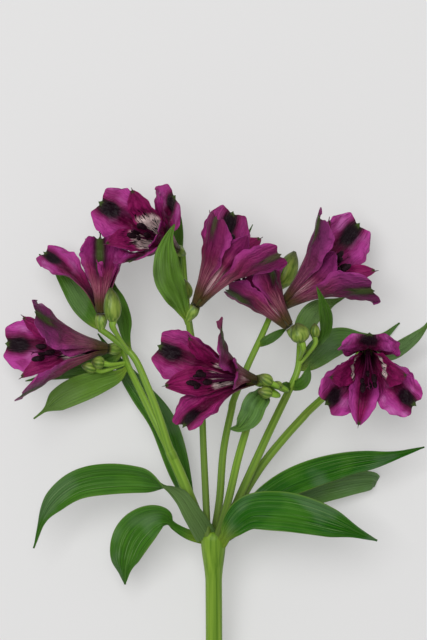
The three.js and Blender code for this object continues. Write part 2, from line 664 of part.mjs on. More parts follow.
function ray(plan, grow = 0) {
  const paths = rayPaths(plan);
  const [trunk, ...branches] = paths;
  const pieces = [bar(trunk, (s) => grow + plan.radius * (1 - RAY_TAPER * s), RAY_SIDES,
    plan.trunk.length + 2)];
  plan.branches.forEach(({ route, flower }, k) => {
    const thick = plan.radius * (branches.length > 1 ? 0.72 : 0.87);
    const fork = plan.radius * (1 - RAY_TAPER) - thick;
    const radius = (s) => grow + blendTo(thick, Math.min(thick, 1.5), s) + fork * (1 - smooth(s / 0.15));
    pieces.push(bar(branches[k], radius, RAY_SIDES, route.length + 3));
    pieces.push(turned(neckOf(FLOWERS[flower]), FLOWERS[flower].axis, [
      [-1, grow + 1.3],
      [1.5, grow + OVARY_RADIUS * 0.75],
      [4.5, grow + OVARY_RADIUS],
      [OVARY_LENGTH, grow + OVARY_RADIUS * 0.85],
    ], RAY_SIDES));
  });
  plan.buds.forEach((index) => {
    const bud = BUDS[index];
    const base = point(...bud.base);
    const axis = point(...bud.tip).sub(base).normalize();
    const before = base.clone().addScaledVector(axis, -3.5);
    const path = new Path(seated([bud.stalk, before.toArray(), bud.base], paths));
    pieces.push(bar(path, (s) => grow + STALK_RADIUS + 0.25 * bud.radius * s ** 3, 4, 3));
  });
  const clearances = plan.buds.map((index) => budSolid(BUDS[index], GAP));
  return largestPiece([join(pieces), ...clearances].reduce((whole, bud) => whole.subtract(bud)));
}

function budSolid(bud, grow = 0) {
  const base = point(...bud.base);
  const axis = point(...bud.tip).sub(base);
  const length = axis.length();
  return turned(base, axis.normalize(), [
    [-grow, grow + bud.radius * 0.4],
    [length * 0.18, grow + bud.radius * 0.85],
    [length * 0.45, grow + bud.radius],
    [length * 0.78, grow + bud.radius * 0.68],
    [length + grow, grow + bud.radius * 0.14],
  ], 6);
}

const stemBody = mainStem();
const stemClearance = mainStem(GAP);
addPart('main_stem', stemBody, MATERIALS.stem);

const rayClearances = RAYS.map((plan) => ray(plan, GAP));
let taken = stemClearance;
RAYS.forEach((plan, k) => {
  addPart(`ray_${k + 1}`, largestPiece(ray(plan).subtract(taken)), MATERIALS.stem);
  taken = taken.add(rayClearances[k]);
});

WHORL_LEAVES.forEach((plan, k) => {
  const leaf = { ...plan, route: seated(plan.route, [STEM_PATH], 0.6) };
  const shape = blade(leafGrid(leaf, 10, 4), LEAF_THICKNESS).subtract(taken);
  addPart(`whorl_leaf_${k + 1}`, largestPiece(shape), MATERIALS.leaf);
});

const allRayPaths = RAYS.flatMap(rayPaths);
BRACTS.forEach((plan, k) => {
  const leaf = { ...plan, route: seated(plan.route, allRayPaths) };
  const small = leaf.halfWidth < 4;
  const grid = leafGrid(leaf, small ? 6 : 7, small ? 2 : 4);
  addPart(`bract_${k + 1}`, largestPiece(blade(grid, LEAF_THICKNESS).subtract(taken)), MATERIALS.leaf);
});

FLOWERS.forEach((flower, k) => {
  addPart(`bloom_${k + 1}`, bloom(flower), MATERIALS.tepal);
  addPart(`stamens_${k + 1}`, stamens(flower), MATERIALS.stamen);
});

BUDS.forEach((bud, k) => addPart(`bud_${k + 1}`, budSolid(bud), MATERIALS.bud));

const box = new THREE.Box3().setFromObject(group);
const middle = box.getCenter(new THREE.Vector3());
group.children.forEach((mesh) => mesh.geometry.translate(-middle.x, -middle.y, -box.min.z));

export default group;
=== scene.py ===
"""Alstroemeria stem: fine flowers, leaves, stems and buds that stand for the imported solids.

Lengths are millimetres and angles are degrees. Places are measured as the solids' own are: from the
middle of the stem's swollen top, X to the right, Y towards the flowers and Z up from the surface.
packed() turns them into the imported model's metres. On a leaf or a tepal t runs across, from -1 to 1,
and s along, from 0 to 1. chance is a number that differs from one leaf, tepal or stalk to the next.
"""

import math

import bpy
import numpy as np
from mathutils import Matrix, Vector


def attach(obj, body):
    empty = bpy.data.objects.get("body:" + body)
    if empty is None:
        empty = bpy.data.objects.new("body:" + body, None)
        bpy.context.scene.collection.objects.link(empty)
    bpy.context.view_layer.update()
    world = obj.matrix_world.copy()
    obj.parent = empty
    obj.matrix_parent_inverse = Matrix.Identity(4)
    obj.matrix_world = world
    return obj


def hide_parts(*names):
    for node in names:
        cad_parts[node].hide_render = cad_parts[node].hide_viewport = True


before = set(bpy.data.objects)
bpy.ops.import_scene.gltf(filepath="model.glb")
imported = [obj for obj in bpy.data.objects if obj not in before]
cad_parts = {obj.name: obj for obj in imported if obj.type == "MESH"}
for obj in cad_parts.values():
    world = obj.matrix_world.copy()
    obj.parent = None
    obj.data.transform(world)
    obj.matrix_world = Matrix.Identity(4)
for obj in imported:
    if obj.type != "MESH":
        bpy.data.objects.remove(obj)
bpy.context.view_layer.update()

# ---- driving dimensions

MM = 0.001
ORIGIN = (2.42, 13.961, 0.086)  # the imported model's origin, as measured here

STEM_LENGTH = 150
STEM_RADIUS = 4.2
STEM_TOP_RADIUS = 6.3
RAY_TAPER = 0.12  # the share of its radius that a trunk loses
RAY_RIBS = 5
RIB_DEPTH = 0.03  # as a share of the radius
FORK_OVERLAP = 5  # how far a branch starts before its trunk ends
FORK_SHARE = 0.72  # a branch's radius beside its trunk's, where there are two
LONE_SHARE = 0.87  # and where there is one
NECK_RADIUS = 1.5  # of a branch where it meets its ovary
BUD_STALK_RADIUS = 0.9
OVARY_LENGTH = 8
OVARY_RADIUS = 2.9
CORE_LENGTH = 4  # the receptacle that a flower's tepals grow on
CORE_RADIUS = 2.9
CORE_FOOT_RADIUS = 2.5
CORE_TOP_RADIUS = 1.5

LEAF_THICKNESS = 0.8
LEAF_FOLD = 20  # how far each half of a leaf bends up from its middle
LEAF_WAVES = 3  # along each rim
LEAF_ROWS = 84
LEAF_COLUMNS = 36
NARROW_LEAF = 4  # a half-width, under which a leaf has less relief and fewer columns
VEIN_RELIEF = 0.07
VEINS_ACROSS = 9

TEPAL_THICKNESS = 0.7
TEPAL_START = 0.8  # up the receptacle
TEPAL_ROWS = 48
TEPAL_POINT = 1.8  # the length of the short point at a tepal's end
POINT_WIDTH = 0.07  # shares of the half-width, as are the next two
KEEL_WIDTH = 0.12
SCALLOP = 0.035  # how uneven the rims are
KEEL_DEPTH = 0.35
RIPPLE_TURNS = 2.4  # of the ripple along each rim
FRILL = 0.22
CRUMPLE = 0.8
TEETH = 0.42
LOBE_RISE = 18  # of the shoulders from the notch between them
LOBE_FALL = 21.5  # from there to the rims

GAP = 0.3  # between a flower's receptacle and the foot of its stamens
FILAMENTS = 6
FILAMENT_RADIUS = 0.45
FILAMENT_LENGTH = 34
FILAMENT_SPREAD = 3.4
FILAMENT_DROOP = 2.5
STYLE_SHARE = 1.02  # the style's length beside FILAMENT_LENGTH
STYLE_ARMS = 3
STYLE_ARM_RADIUS = 0.3
ANTHER_LENGTH = 5.6
ANTHER_RADIUS = 1.25
ANTHER_END = 0.15

GRAIN_STEP = 40  # between the noises of two blades whose tones differ by 1
SHARP_EDGE = 65
STEEP = 0.9  # how much of a way points up before its side is taken from the X axis
GOLDEN = 0.618  # steps of this share of a turn never come back to the same place

# The camera looks straight down. VIEW_HEIGHT is what its frame takes in at CAMERA_RANGE.
CAMERA_PLACE = (0, 112.5, 1445)
CAMERA_RANGE = 1400
VIEW_HEIGHT = 320
SENSOR = 24
FAR_CLIP = 20  # metres

LIGHT_AIM = (0, 80, 40)
LIGHT_PLACE = (-0.4, 0.5, 2.3)  # metres
LIGHT_SIZE = 1.3  # metres
LIGHT_POWER = 38
SKY_STRENGTH = 0.36
FLOOR_GLOW = 0.27
FLOOR_HALF = 6.0  # metres

UP = np.array([0.0, 0.0, 1.0])
ACROSS = np.array([1.0, 0.0, 0.0])

# ---- numbers and curves


def vec(values):
    return np.array(values, float)


def unit(v):
    return v / np.linalg.norm(v)


def turned(a, b, degrees):
    """Two directions square to each other, turned from a towards b."""
    angle = math.radians(degrees)
    return a * math.cos(angle) + b * math.sin(angle), b * math.cos(angle) - a * math.sin(angle)


def ramp(value, low, high):
    """0 at low and 1 at high, with a straight line between them."""
    return np.clip((value - low) / (high - low), 0, 1)


def fade(value, low, high):
    """0 at low and 1 at high, eased, in either order."""
    share = ramp(value, low, high)
    return share * share * (3 - 2 * share)


def wave(turns):
    return np.sin(turns * 2 * math.pi)


def circle(sides):
    """The angles in radians of evenly spaced points round a circle."""
    return np.arange(sides) / sides * 2 * math.pi


def blend(a, b, share):
    return a + (b - a) * share


def through_three(keys, s):
    """A value that curves through three keys, at the start, the middle and the end."""
    a, b, c = keys
    return a * 2 * (s - 0.5) * (s - 1) - b * 4 * s * (s - 1) + c * 2 * s * (s - 0.5)


def through_keys(keys, s):
    """A value that eases between evenly spaced keys."""
    place = s * (len(keys) - 1)
    i = min(math.floor(place), len(keys) - 2)
    return blend(keys[i], keys[i + 1], fade(place, i, i + 1))


class Path:
    """A smooth curve through points, read by its share of the length."""

    STEPS = 24
    REACH = 0.01  # how far either side of a place its direction is read

    def __init__(self, points):
        stops = [vec(p) for p in points]
        stops = [2 * stops[0] - stops[1], *stops, 2 * stops[-1] - stops[-2]]
        places = [self.between(*stops[i:i + 4], k / self.STEPS)
                  for i in range(len(stops) - 3) for k in range(self.STEPS)]
        self.places = np.array([*places, stops[-2]])
        steps = np.linalg.norm(np.diff(self.places, axis=0), axis=1)
        self.lengths = np.concatenate([[0], np.cumsum(steps)])
        self.length = self.lengths[-1]

    @staticmethod
    def between(a, b, c, d, k):
        return 0.5 * (2 * b + (c - a) * k + (2 * a - 5 * b + 4 * c - d) * k * k
                      + (3 * b - a - 3 * c + d) * k ** 3)

    def at(self, s):
        goal = np.clip(s, 0, 1) * self.length
        return np.stack([np.interp(goal, self.lengths, axis) for axis in self.places.T], axis=-1)

    def direction(self, s):
        way = self.at(s + self.REACH) - self.at(s - self.REACH)
        return way / np.linalg.norm(way, axis=-1, keepdims=True)


def seated(route, paths, left=0):
    """A route whose first point goes to the nearest place on what carries it, but for a share left."""
    start = vec(route[0])
    places = np.concatenate([path.places for path in paths])
    seat = places[np.argmin(np.linalg.norm(places - start, axis=1))]
    return [blend(seat, start, left), *route[1:]]


# ---- shells and objects


def packed(places):
    return (np.asarray(places, float) - vec(ORIGIN)) * MM


def rows_of(*columns):
    """Rows of three from three arrays or numbers, spread to one shape."""
    return np.stack(np.broadcast_arrays(*columns), axis=-1).reshape(-1, 3)


def new_object(name, data):
    thing = bpy.data.objects.new(name, data)
    bpy.context.scene.collection.objects.link(thing)
    return thing


class Shells:
    """Closed shells gathered for one object, with what its materials read at each vertex.

    shape is a place on the shell: across -1..1, along 0..1, and 1 on an inner face or 0 elsewhere.
    grain is a place in millimetres on the unrolled surface. tone is three numbers for each shell: on
    a leaf chance, how pale it is and how much painted grey sheen it has, on a stalk chance, nothing
    and 1 for a trunk, and on a tepal how light it is, its mark and its mark's reach. An upper inner
    tepal's mark is the middle of its pale ground, and an outer one's is how green its keel is.
    """

    def __init__(self):
        self.places, self.shape, self.grain, self.tone = [], [], [], []
        self.faces, self.slots = [], []
        self.count = 0

    def add(self, places, faces, shape, grain, tone, slot):
        if signed_volume(places, faces) < 0:
            faces = [face[::-1] for face in faces]
        self.places.append(places)
        self.faces += [tuple(v + self.count for v in face) for face in faces]
        self.shape.append(shape)
        self.grain.append(grain)
        self.tone.append(np.tile(vec(tone), (len(places), 1)))
        self.slots += [slot] * len(faces)
        self.count += len(places)


def signed_volume(places, faces):
    """Below zero where the faces look inwards."""
    corners = [(face[0], face[k], face[k + 1]) for face in faces for k in range(1, len(face) - 1)]
    a, b, c = (places[[corner[k] for corner in corners]] for k in range(3))
    return np.einsum("ij,ij->", a, np.cross(b, c))


def make_object(node, shells, materials):
    """One mesh object from the shells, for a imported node."""
    name = f"fine_{node}"
    mesh = bpy.data.meshes.new(name)
    mesh.from_pydata(packed(np.concatenate(shells.places)).tolist(), [], shells.faces)
    for key, rows in (("shape", shells.shape), ("grain", shells.grain), ("tone", shells.tone)):
        values = np.concatenate(rows).astype(np.float32).ravel()
        mesh.attributes.new(key, "FLOAT_VECTOR", "POINT").data.foreach_set("vector", values)
    for material in materials:
        mesh.materials.append(material)
    mesh.polygons.foreach_set("material_index", shells.slots)
    mesh.shade_smooth()
    mesh.set_sharp_from_angle(angle=math.radians(SHARP_EDGE))
    piece = new_object(name, mesh)
    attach(piece, "root")
    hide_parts(node)


def add_rings(shells, rings, lengths, tone, slot):
    """A closed shell through rings of points, with a flat face at each end."""
    count, sides = rings.shape[:2]
    index = np.arange(count * sides).reshape(count, sides)
    after = np.roll(index, -1, axis=1)
    quads = np.stack([index[:-1], after[:-1], after[1:], index[1:]], axis=-1).reshape(-1, 4)
    faces = [*quads.tolist(), index[0][::-1].tolist(), index[-1].tolist()]
    turn = circle(sides)
    centres = rings.mean(axis=1, keepdims=True)
    radius = np.linalg.norm(rings - centres, axis=2)
    along = lengths[:, None]
    grain = rows_of(np.cos(turn) * radius, np.sin(turn) * radius, along)
    shape = rows_of(np.cos(turn), along / along[-1], 0)
    shells.add(rings.reshape(-1, 3), faces, shape, grain, tone, slot)


def ring(centre, side, over, radius, turn):
    return centre + np.outer(np.cos(turn) * radius, side) + np.outer(np.sin(turn) * radius, over)


def first_side(way):
    """A direction square to a way: level, or square to the X axis where the way is steep."""
    return np.cross(way, UP if abs(way[2]) < STEEP else ACROSS)


def add_bar(shells, path, radius_at, sides, steps, ribs=0, depth=0.0, tone=(0, 0, 0)):
    """A round bar along a path, with lengthwise ribs."""
    s = np.linspace(0, 1, steps + 1)
    turn = circle(sides)
    ribbing = 1 + depth * np.cos(ribs * turn)
    ways = path.direction(s)
    side = first_side(ways[0])
    rings = []
    for share, centre, way in zip(s, path.at(s), ways):
        side = unit(side - way * side.dot(way))
        rings.append(ring(centre, side, np.cross(way, side), radius_at(share) * ribbing, turn))
    add_rings(shells, np.array(rings), s * path.length, tone, 0)


def add_turned(shells, base, axis, profile, sides, steps, ribs=0, depth=0.0, tone=(0, 0, 0), slot=0):
    """A turned body on an axis, its profile of (distance along, radius) drawn as a smooth curve."""
    side = unit(first_side(axis))
    over = np.cross(axis, side)
    turn = circle(sides)
    s = np.linspace(0, 1, steps + 1)
    line = Path([(along, radius, 0) for along, radius in profile]).at(s)
    rings = []
    for share, (along, radius, _) in zip(s, line):
        ribbing = 1 + depth * math.sin(share * math.pi) * np.cos(ribs * turn)
        rings.append(ring(base + axis * along, side, over, radius * ribbing, turn))
    add_rings(shells, np.array(rings), line[:, 0] - line[0, 0], tone, slot)


def add_blade(shells, grid, thickness, width, length, tone, slot=0):
    """A thin closed blade round a grid of points, thinner towards its rims."""
    rows, columns = grid.shape[:2]
    normal = np.cross(np.gradient(grid, axis=0), np.gradient(grid, axis=1))
    normal /= np.maximum(np.linalg.norm(normal, axis=2, keepdims=True), 1e-9)
    t, s = np.meshgrid(np.linspace(-1, 1, columns), np.linspace(0, 1, rows))
    rim = np.maximum(np.abs(t), fade(s, 0.9, 1) * 0.999)
    half = (thickness / 2 * (0.4 + 0.6 * np.sqrt(1 - rim ** 8)))[..., None]
    places = np.concatenate([grid + normal * half, grid - normal * half]).reshape(-1, 3)
    under = rows * columns
    index = np.arange(under).reshape(rows, columns)
    quads = [index[:-1, :-1], index[:-1, 1:], index[1:, 1:], index[1:, :-1]]
    upper = np.stack(quads, axis=-1).reshape(-1, 4)
    rim_loop = [*index[0, :-1], *index[:-1, -1], *index[-1, :0:-1], *index[:0:-1, 0]]
    edge = [(p, p + under, q + under, q) for p, q in zip(rim_loop, rim_loop[1:] + rim_loop[:1])]
    faces = [*upper.tolist(), *(upper[:, ::-1] + under).tolist(), *edge]
    shape = rows_of(t, s, 1)
    grain = rows_of(t * width, s * length, tone[0] * GRAIN_STEP)
    shells.add(places, faces, np.concatenate([shape, shape * (1, 1, 0)]),
               np.concatenate([grain, grain]), tone, slot)


# ---- leaves

LEAF = dict(blade_start=0, widest=0.75, taper=0.85, tail=0.3, stalk=0.2, roll=(0, 0), left=0,
            wave=0.6, pucker=0.25, pale=0.25, dusty=0)


def bract(half_width, *route, **own):
    return {**LEAF, "half_width": half_width, "route": route, **own}


def whorl_leaf(half_width, *route, **own):
    return bract(half_width, *route, **{"left": 0.6, "pale": 0.1, **own})


def leaf_half_width(leaf, s):
    """A lance-shaped blade that narrows to a tail, on a stalk that narrows from its root."""
    u = ramp(s, leaf["blade_start"], 1)
    lance = math.sin(math.pi * u ** leaf["widest"]) ** leaf["taper"]
    tail = 1 - leaf["tail"] * fade(u, 0.7, 0.9)
    stalk = leaf["stalk"] * fade(s, 0.6, 0)
    return leaf["half_width"] * max(lance * tail, stalk, 0.05)


def leaf_relief(leaf, s, t):
    """How far the upper face rises: wavy rims, puckers and veins."""
    waves = leaf["wave"] * t * t * np.sin(s * LEAF_WAVES * 2 * math.pi + np.where(t > 0, 0, 2))
    puckers = leaf["pucker"] * wave(t * 1.4 + s * 1.2) * wave(s * 1.7 - t * 0.4)
    return waves + puckers + VEIN_RELIEF * np.cos(t * VEINS_ACROSS * math.pi)


def leaf_grid(leaf, path, columns):
    bend = math.radians(LEAF_FOLD)
    t = np.linspace(-1, 1, columns + 1)
    out = np.sin(bend * t) / bend
    lift = (1 - np.cos(bend * t)) / bend
    grid = []
    for s in np.linspace(0, 1, LEAF_ROWS + 1):
        along = path.direction(s)
        level = unit(np.cross(along, UP))
        over = np.cross(level, along)
        side, face = turned(level, over, through_keys(leaf["roll"], s))
        half = leaf_half_width(leaf, s)
        rise = half * lift + leaf_relief(leaf, s, t) * min(1, half / NARROW_LEAF)
        grid.append(path.at(s) + np.outer(half * out, side) + np.outer(rise, face))
    return np.array(grid)


def make_leaf(name, leaf, carriers):
    path = Path(seated(leaf["route"], carriers, leaf["left"]))
    columns = LEAF_COLUMNS if leaf["half_width"] > NARROW_LEAF else LEAF_COLUMNS // 2
    grid = leaf_grid(leaf, path, columns)
    chance = len(name) / 7 + path.length / 9
    shells = Shells()
    add_blade(shells, grid[:, ::-1], LEAF_THICKNESS, leaf["half_width"], path.length,
              (chance, leaf["pale"], leaf["dusty"]))
    make_object(name, shells, [LEAF_BLADE])


# ---- flowers

OUTER = dict(length=47, half_width=13.5, root=2.6, open=(15, 25, 46), fold=(46, 36, 10), roll=0,
             outer=True, columns=32, ripple=1.3,
             waist=0.32, full=0.77, shoulder=0.8, narrowing=0.2, bluntness=2)
INNER = dict(length=45, half_width=8, root=1.7, open=(11, 18, 38), fold=(40, 34, 12), roll=0,
             outer=False, columns=16, ripple=0.5,
             waist=0.3, full=0.65, shoulder=0.62, narrowing=0.88, bluntness=2.2)
TEPALS = dict(
    top=dict(OUTER, azimuth=0),
    left=dict(OUTER, azimuth=120),
    right=dict(OUTER, azimuth=240),
    inner_left=dict(INNER, azimuth=60),
    inner_right=dict(INNER, azimuth=300),
    inner_low=dict(INNER, azimuth=180))
OUTER_SLOT, INNER_SLOT, CORE_SLOT = range(3)


def opened(*angles, **own):
    """A tepal's angles off the axis at its foot, middle and end, and its own values."""
    return {"open": angles, **own}


def flower_at(base, axis, up, size=1.0, droop=FILAMENT_DROOP, light=0.5,
              green=1.0, ground=(0.36, 0.12), **tepals):
    """A flower's plan. droop is how far its stamens sag, green how green its keels are, and ground
    the middle and the reach of the pale grounds on its upper inner tepals, as shares of their length.
    """
    facing = unit(vec(axis))
    upper = unit(vec(up) - facing * vec(up).dot(facing))
    return dict(base=vec(base), axis=facing, up=upper, left=np.cross(facing, upper), size=size,
                droop=droop, light=light, green=green, ground=ground, tepals=tepals)


def tepal_half_width(tepal, s):
    root = blend(0.6, 1, fade(s, 0, 0.15))
    spread = blend(tepal["waist"], 1, fade(s, 0.15, tepal["full"]))
    end = 1 - tepal["narrowing"] * ramp(s, tepal["shoulder"], 1) ** tepal["bluntness"]
    return tepal["half_width"] * root * spread * end


def tepal_relief(tepal, s, t, chance):
    """How far the inner face rises: rippled and frilled rims, a crumpled blade and a keel."""
    rim = np.abs(t)
    ripple = tepal["ripple"] * rim ** 3 * fade(s, 0.35, 0.65)
    ripple = ripple * wave(s * RIPPLE_TURNS + np.where(t > 0, 0.1, 0.55))
    frill = FRILL * rim ** 5 * fade(s, 0.5, 0.7) * wave(s * 9 + t + chance * 7)
    crumple = wave(s * 2.6 + t * 0.8 + chance * 5) * wave(t * 0.9 - s + chance * 3)
    crumple = crumple * CRUMPLE * fade(s, 0.3, 0.6) * (1 - 0.85 * fade(s, 0.72, 0.94))
    keel = KEEL_DEPTH * np.exp(-(t / KEEL_WIDTH) ** 2) * fade(s, 0.1, 0.4)
    return ripple + frill + crumple - keel


def tepal_end(tepal, s, t, chance):
    """How far a row reaches past the spine: a short point, and on outer tepals uneven shoulders."""
    point = TEPAL_POINT * np.exp(-(t / POINT_WIDTH) ** 2) * ramp(s, 0.9, 1) ** 3
    if not tepal["outer"]:
        return point
    rim = np.abs(t)
    shoulders = (LOBE_RISE - LOBE_FALL * rim) * t * t * ramp(s, 0.66, 1) ** 2
    teeth = TEETH * rim * fade(s, 0.7, 1) * wave(t * 2.3 + chance * 7)
    return shoulders + point + teeth


def tepal_spine(flower, tepal):
    """Stations along a tepal's middle: share of the length, place, direction, side and inner face."""
    axis = flower["axis"]
    outward, _ = turned(flower["up"], flower["left"], tepal["azimuth"])
    sideways = np.cross(axis, outward)
    place = flower["base"] + outward * tepal["root"] * flower["size"] + axis * TEPAL_START
    step = tepal["length"] * flower["size"] / TEPAL_ROWS
    stations = []
    for s in np.linspace(0, 1, TEPAL_ROWS + 1):
        along, _ = turned(axis, outward, through_three(tepal["open"], s))
        side, face = turned(sideways, np.cross(along, sideways), tepal["roll"] * s * s)
        stations.append((s, place, along, side, face))
        place = place + along * step
    return stations


def tepal_grid(flower, tepal, chance):
    t = np.linspace(-1, 1, tepal["columns"] + 1)
    size = flower["size"]
    grid = []
    for s, place, along, side, face in tepal_spine(flower, tepal):
        half = tepal_half_width(tepal, s) * size
        bend = math.radians(through_three(tepal["fold"], s))
        scallop = SCALLOP * fade(s, 0.45, 0.65) * wave(s * 7 + chance * np.where(t > 0, 5, 9))
        out = half * np.sin(bend * t) / bend * (1 + scallop)
        rise = half * (1 - np.cos(bend * t)) / bend + tepal_relief(tepal, s, t, chance)
        end = tepal_end(tepal, s, t, chance) * size
        grid.append(place + np.outer(out, side) + np.outer(rise, face) + np.outer(end, along))
    return np.array(grid)


def tepal_mark(flower, name, tepal):
    """What a tepal's tone says after its lightness."""
    if tepal["outer"]:
        return (flower["green"], 0)
    return (0, 0) if name == "inner_low" else flower["ground"]


def make_bloom(number, flower):
    """Six tepals round a receptacle."""
    size = flower["size"]
    shells = Shells()
    core = [(0.05, CORE_FOOT_RADIUS * size), (1.4, CORE_RADIUS * size),
            (CORE_LENGTH, CORE_RADIUS * size), (CORE_LENGTH + 0.1, CORE_TOP_RADIUS * size)]
    add_turned(shells, flower["base"], flower["axis"], core, 24, 12, slot=CORE_SLOT)
    for k, (name, standard) in enumerate(TEPALS.items()):
        tepal = {**standard, **flower["tepals"].get(name, {})}
        chance = ((number * len(TEPALS) + k) * GOLDEN) % 1
        tone = (flower["light"] + (chance - 0.5) * 0.3, *tepal_mark(flower, name, tepal))
        add_blade(shells, tepal_grid(flower, tepal, chance), TEPAL_THICKNESS, tepal["half_width"],
                  tepal["length"], tone, OUTER_SLOT if tepal["outer"] else INNER_SLOT)
    make_object(f"bloom_{number}", shells, [OUTER_TEPAL, INNER_TEPAL, CORE])


def add_filament(shells, flower, foot, offset, reach):
    """A slender bar that opens out and sags. Gives back its tip and its way there."""
    axis = flower["axis"]
    sag = unit(vec((0, -1, 0)) + axis * axis[1]) * flower["droop"]
    stops = [foot + axis * (0.6 + reach * share) + offset * out + sag * fall
             for share, out, fall in ((0, 0.26, 0), (0.45, 0.4, 0.2), (1, 1, 1))]
    path = Path(stops)
    add_bar(shells, path, lambda s: FILAMENT_RADIUS * (1.1 - 0.3 * s), 10, 28)
    return path.at(1.0), path.direction(1.0)


def add_anther(shells, tip, lie):
    """A two-lobed anther, held a third of the way up."""
    profile = [(0, ANTHER_END), (0.35, ANTHER_RADIUS * 0.75), (ANTHER_LENGTH * 0.45, ANTHER_RADIUS),
               (ANTHER_LENGTH * 0.85, ANTHER_RADIUS * 0.75), (ANTHER_LENGTH, ANTHER_END)]
    foot = tip - lie * ANTHER_LENGTH * 0.35
    add_turned(shells, foot, lie, profile, 16, 16, ribs=2, depth=0.16, slot=1)


def add_style_arms(shells, flower, tip, way):
    for turn in circle(STYLE_ARMS):
        out = flower["left"] * math.cos(turn) + flower["up"] * math.sin(turn)
        path = Path([tip - way * 0.4, tip + way * 0.9 + out * 0.4, tip + way * 1.5 + out * 1.3])
        add_bar(shells, path, lambda s: STYLE_ARM_RADIUS * (1 - 0.5 * s), 8, 8)


def make_stamens(number, flower):
    """Filaments with anthers, and the style with its arms, on one foot."""
    foot = flower["base"] + flower["axis"] * (CORE_LENGTH + GAP)
    length = FILAMENT_LENGTH * flower["size"]
    shells = Shells()
    add_turned(shells, foot, flower["axis"], [(0, 1.3), (0.7, 1.3), (1.4, 1.1)], 16, 6)
    for k, turn in enumerate(circle(FILAMENTS) + 0.4):
        offset = flower["left"] * math.cos(turn) + flower["up"] * math.sin(turn)
        reach = (0.86 + 0.07 * math.cos(k * 2.4)) * length
        tip, way = add_filament(shells, flower, foot, offset * FILAMENT_SPREAD, reach)
        add_anther(shells, tip, unit(way + flower["up"] * 0.5 * math.sin(turn * 2)))
    tip, way = add_filament(shells, flower, foot, vec((0, 0, 0)), STYLE_SHARE * length)
    add_style_arms(shells, flower, tip, way)
    make_object(f"stamens_{number}", shells, [FILAMENT, ANTHER])


# ---- what is where

FLOWERS = [
    flower_at(
        (-54, 98, 26), (-0.9, 0.02, 0.42), (0, 0.05, -1), light=0.75,
        top=opened(15, 24, 42, length=49),
        right=opened(15, 26, 36, length=50, azimuth=228, roll=-12),
        left=opened(15, 28, 26, length=54, azimuth=116),
        inner_low=opened(11, 13, 16, length=36, azimuth=216),
        inner_left=opened(11, 20, 40)),
    flower_at(
        (-56.5, 116, 40), (0, 0.98, 0.12), (0, 0.1, 0.99), light=0.6, green=1.7,
        top=opened(12, 11, 14, length=38, half_width=10.5),
        right=opened(20, 52, 60, length=42, half_width=9, roll=-50),
        left=opened(12, 12, 10, length=36),
        inner_left=opened(10, 10, 10, length=36), inner_right=opened(10, 10, 10, length=36),
        inner_low=opened(10, 14, 20, length=36)),
    flower_at(
        (-19.5, 148.5, 33), (-0.48, 0.28, 0.83), (-0.9, 0.4, -0.6), ground=(0.46, 0.17),
        top=opened(15, 30, 58, length=45, azimuth=353),
        right=opened(15, 28, 50, azimuth=236, length=44),
        left=opened(15, 22, 34)),
    flower_at(
        (20, 83, 70), (-0.76, 0.1, 0.64), (0, 0.32, -0.94), light=0.05,
        top=opened(15, 30, 46, length=48),
        right=opened(15, 34, 52, length=51, azimuth=250, half_width=11.5, roll=-32),
        left=opened(15, 32, 52, azimuth=105, length=44),
        inner_low=opened(11, 34, 60, azimuth=216, length=34),
        inner_left=opened(11, 20, 38, azimuth=50)),
    flower_at(
        (-8.5, 120, 60), (0.5, 0.85, 0.2), (-0.3, 0.2, -0.93), light=0.2, green=0.75,
        top=opened(14, 22, 30, length=48),
        left=opened(14, 20, 22, length=46, azimuth=113, half_width=11, fold=(46, 44, 36)),
        right=opened(14, 27, 36, length=48, azimuth=230, half_width=11.5, roll=-50),
        inner_low=opened(11, 14, 16)),
    flower_at(
        (38, 109, 42), (-0.62, 0.77, -0.12), (0.05, 0.1, -0.99), size=0.94, light=0.1, green=1.5,
        top=opened(14, 20, 30, length=38),
        left=opened(14, 20, 22, length=36, fold=(46, 44, 36)),
        right=opened(14, 24, 30, length=39),
        inner_low=opened(11, 12, 14, length=34),
        inner_left=dict(length=36), inner_right=dict(length=36)),
    flower_at(
        (35, 120, 32), (0.74, 0.62, 0.36), (-0.15, 0.2, -0.97), size=1.08, light=0.9,
        top=opened(14, 24, 34, length=50),
        left=opened(14, 30, 42, length=54, half_width=10, fold=(46, 60, 66)),
        right=opened(14, 28, 38, length=46, azimuth=227, roll=-35),
        inner_low=opened(11, 14, 18, azimuth=150, length=40),
        inner_right=opened(11, 20, 34, azimuth=285)),
    flower_at(
        (78, 98, 30), (-0.04, -0.4, 0.9), (0, 1, 0.3), droop=2, light=0.7, ground=(0.52, 0.045),
        top=opened(15, 28, 60, length=44, half_width=15.5),
        left=opened(15, 30, 46, azimuth=122, length=43, half_width=12.5),
        right=opened(15, 34, 56, azimuth=239, length=43, half_width=12.5),
        inner_left=opened(11, 22, 40, azimuth=80, half_width=9),
        inner_right=opened(11, 22, 40, azimuth=286, half_width=9),
        inner_low=opened(11, 28, 62, length=46, azimuth=169)),
]

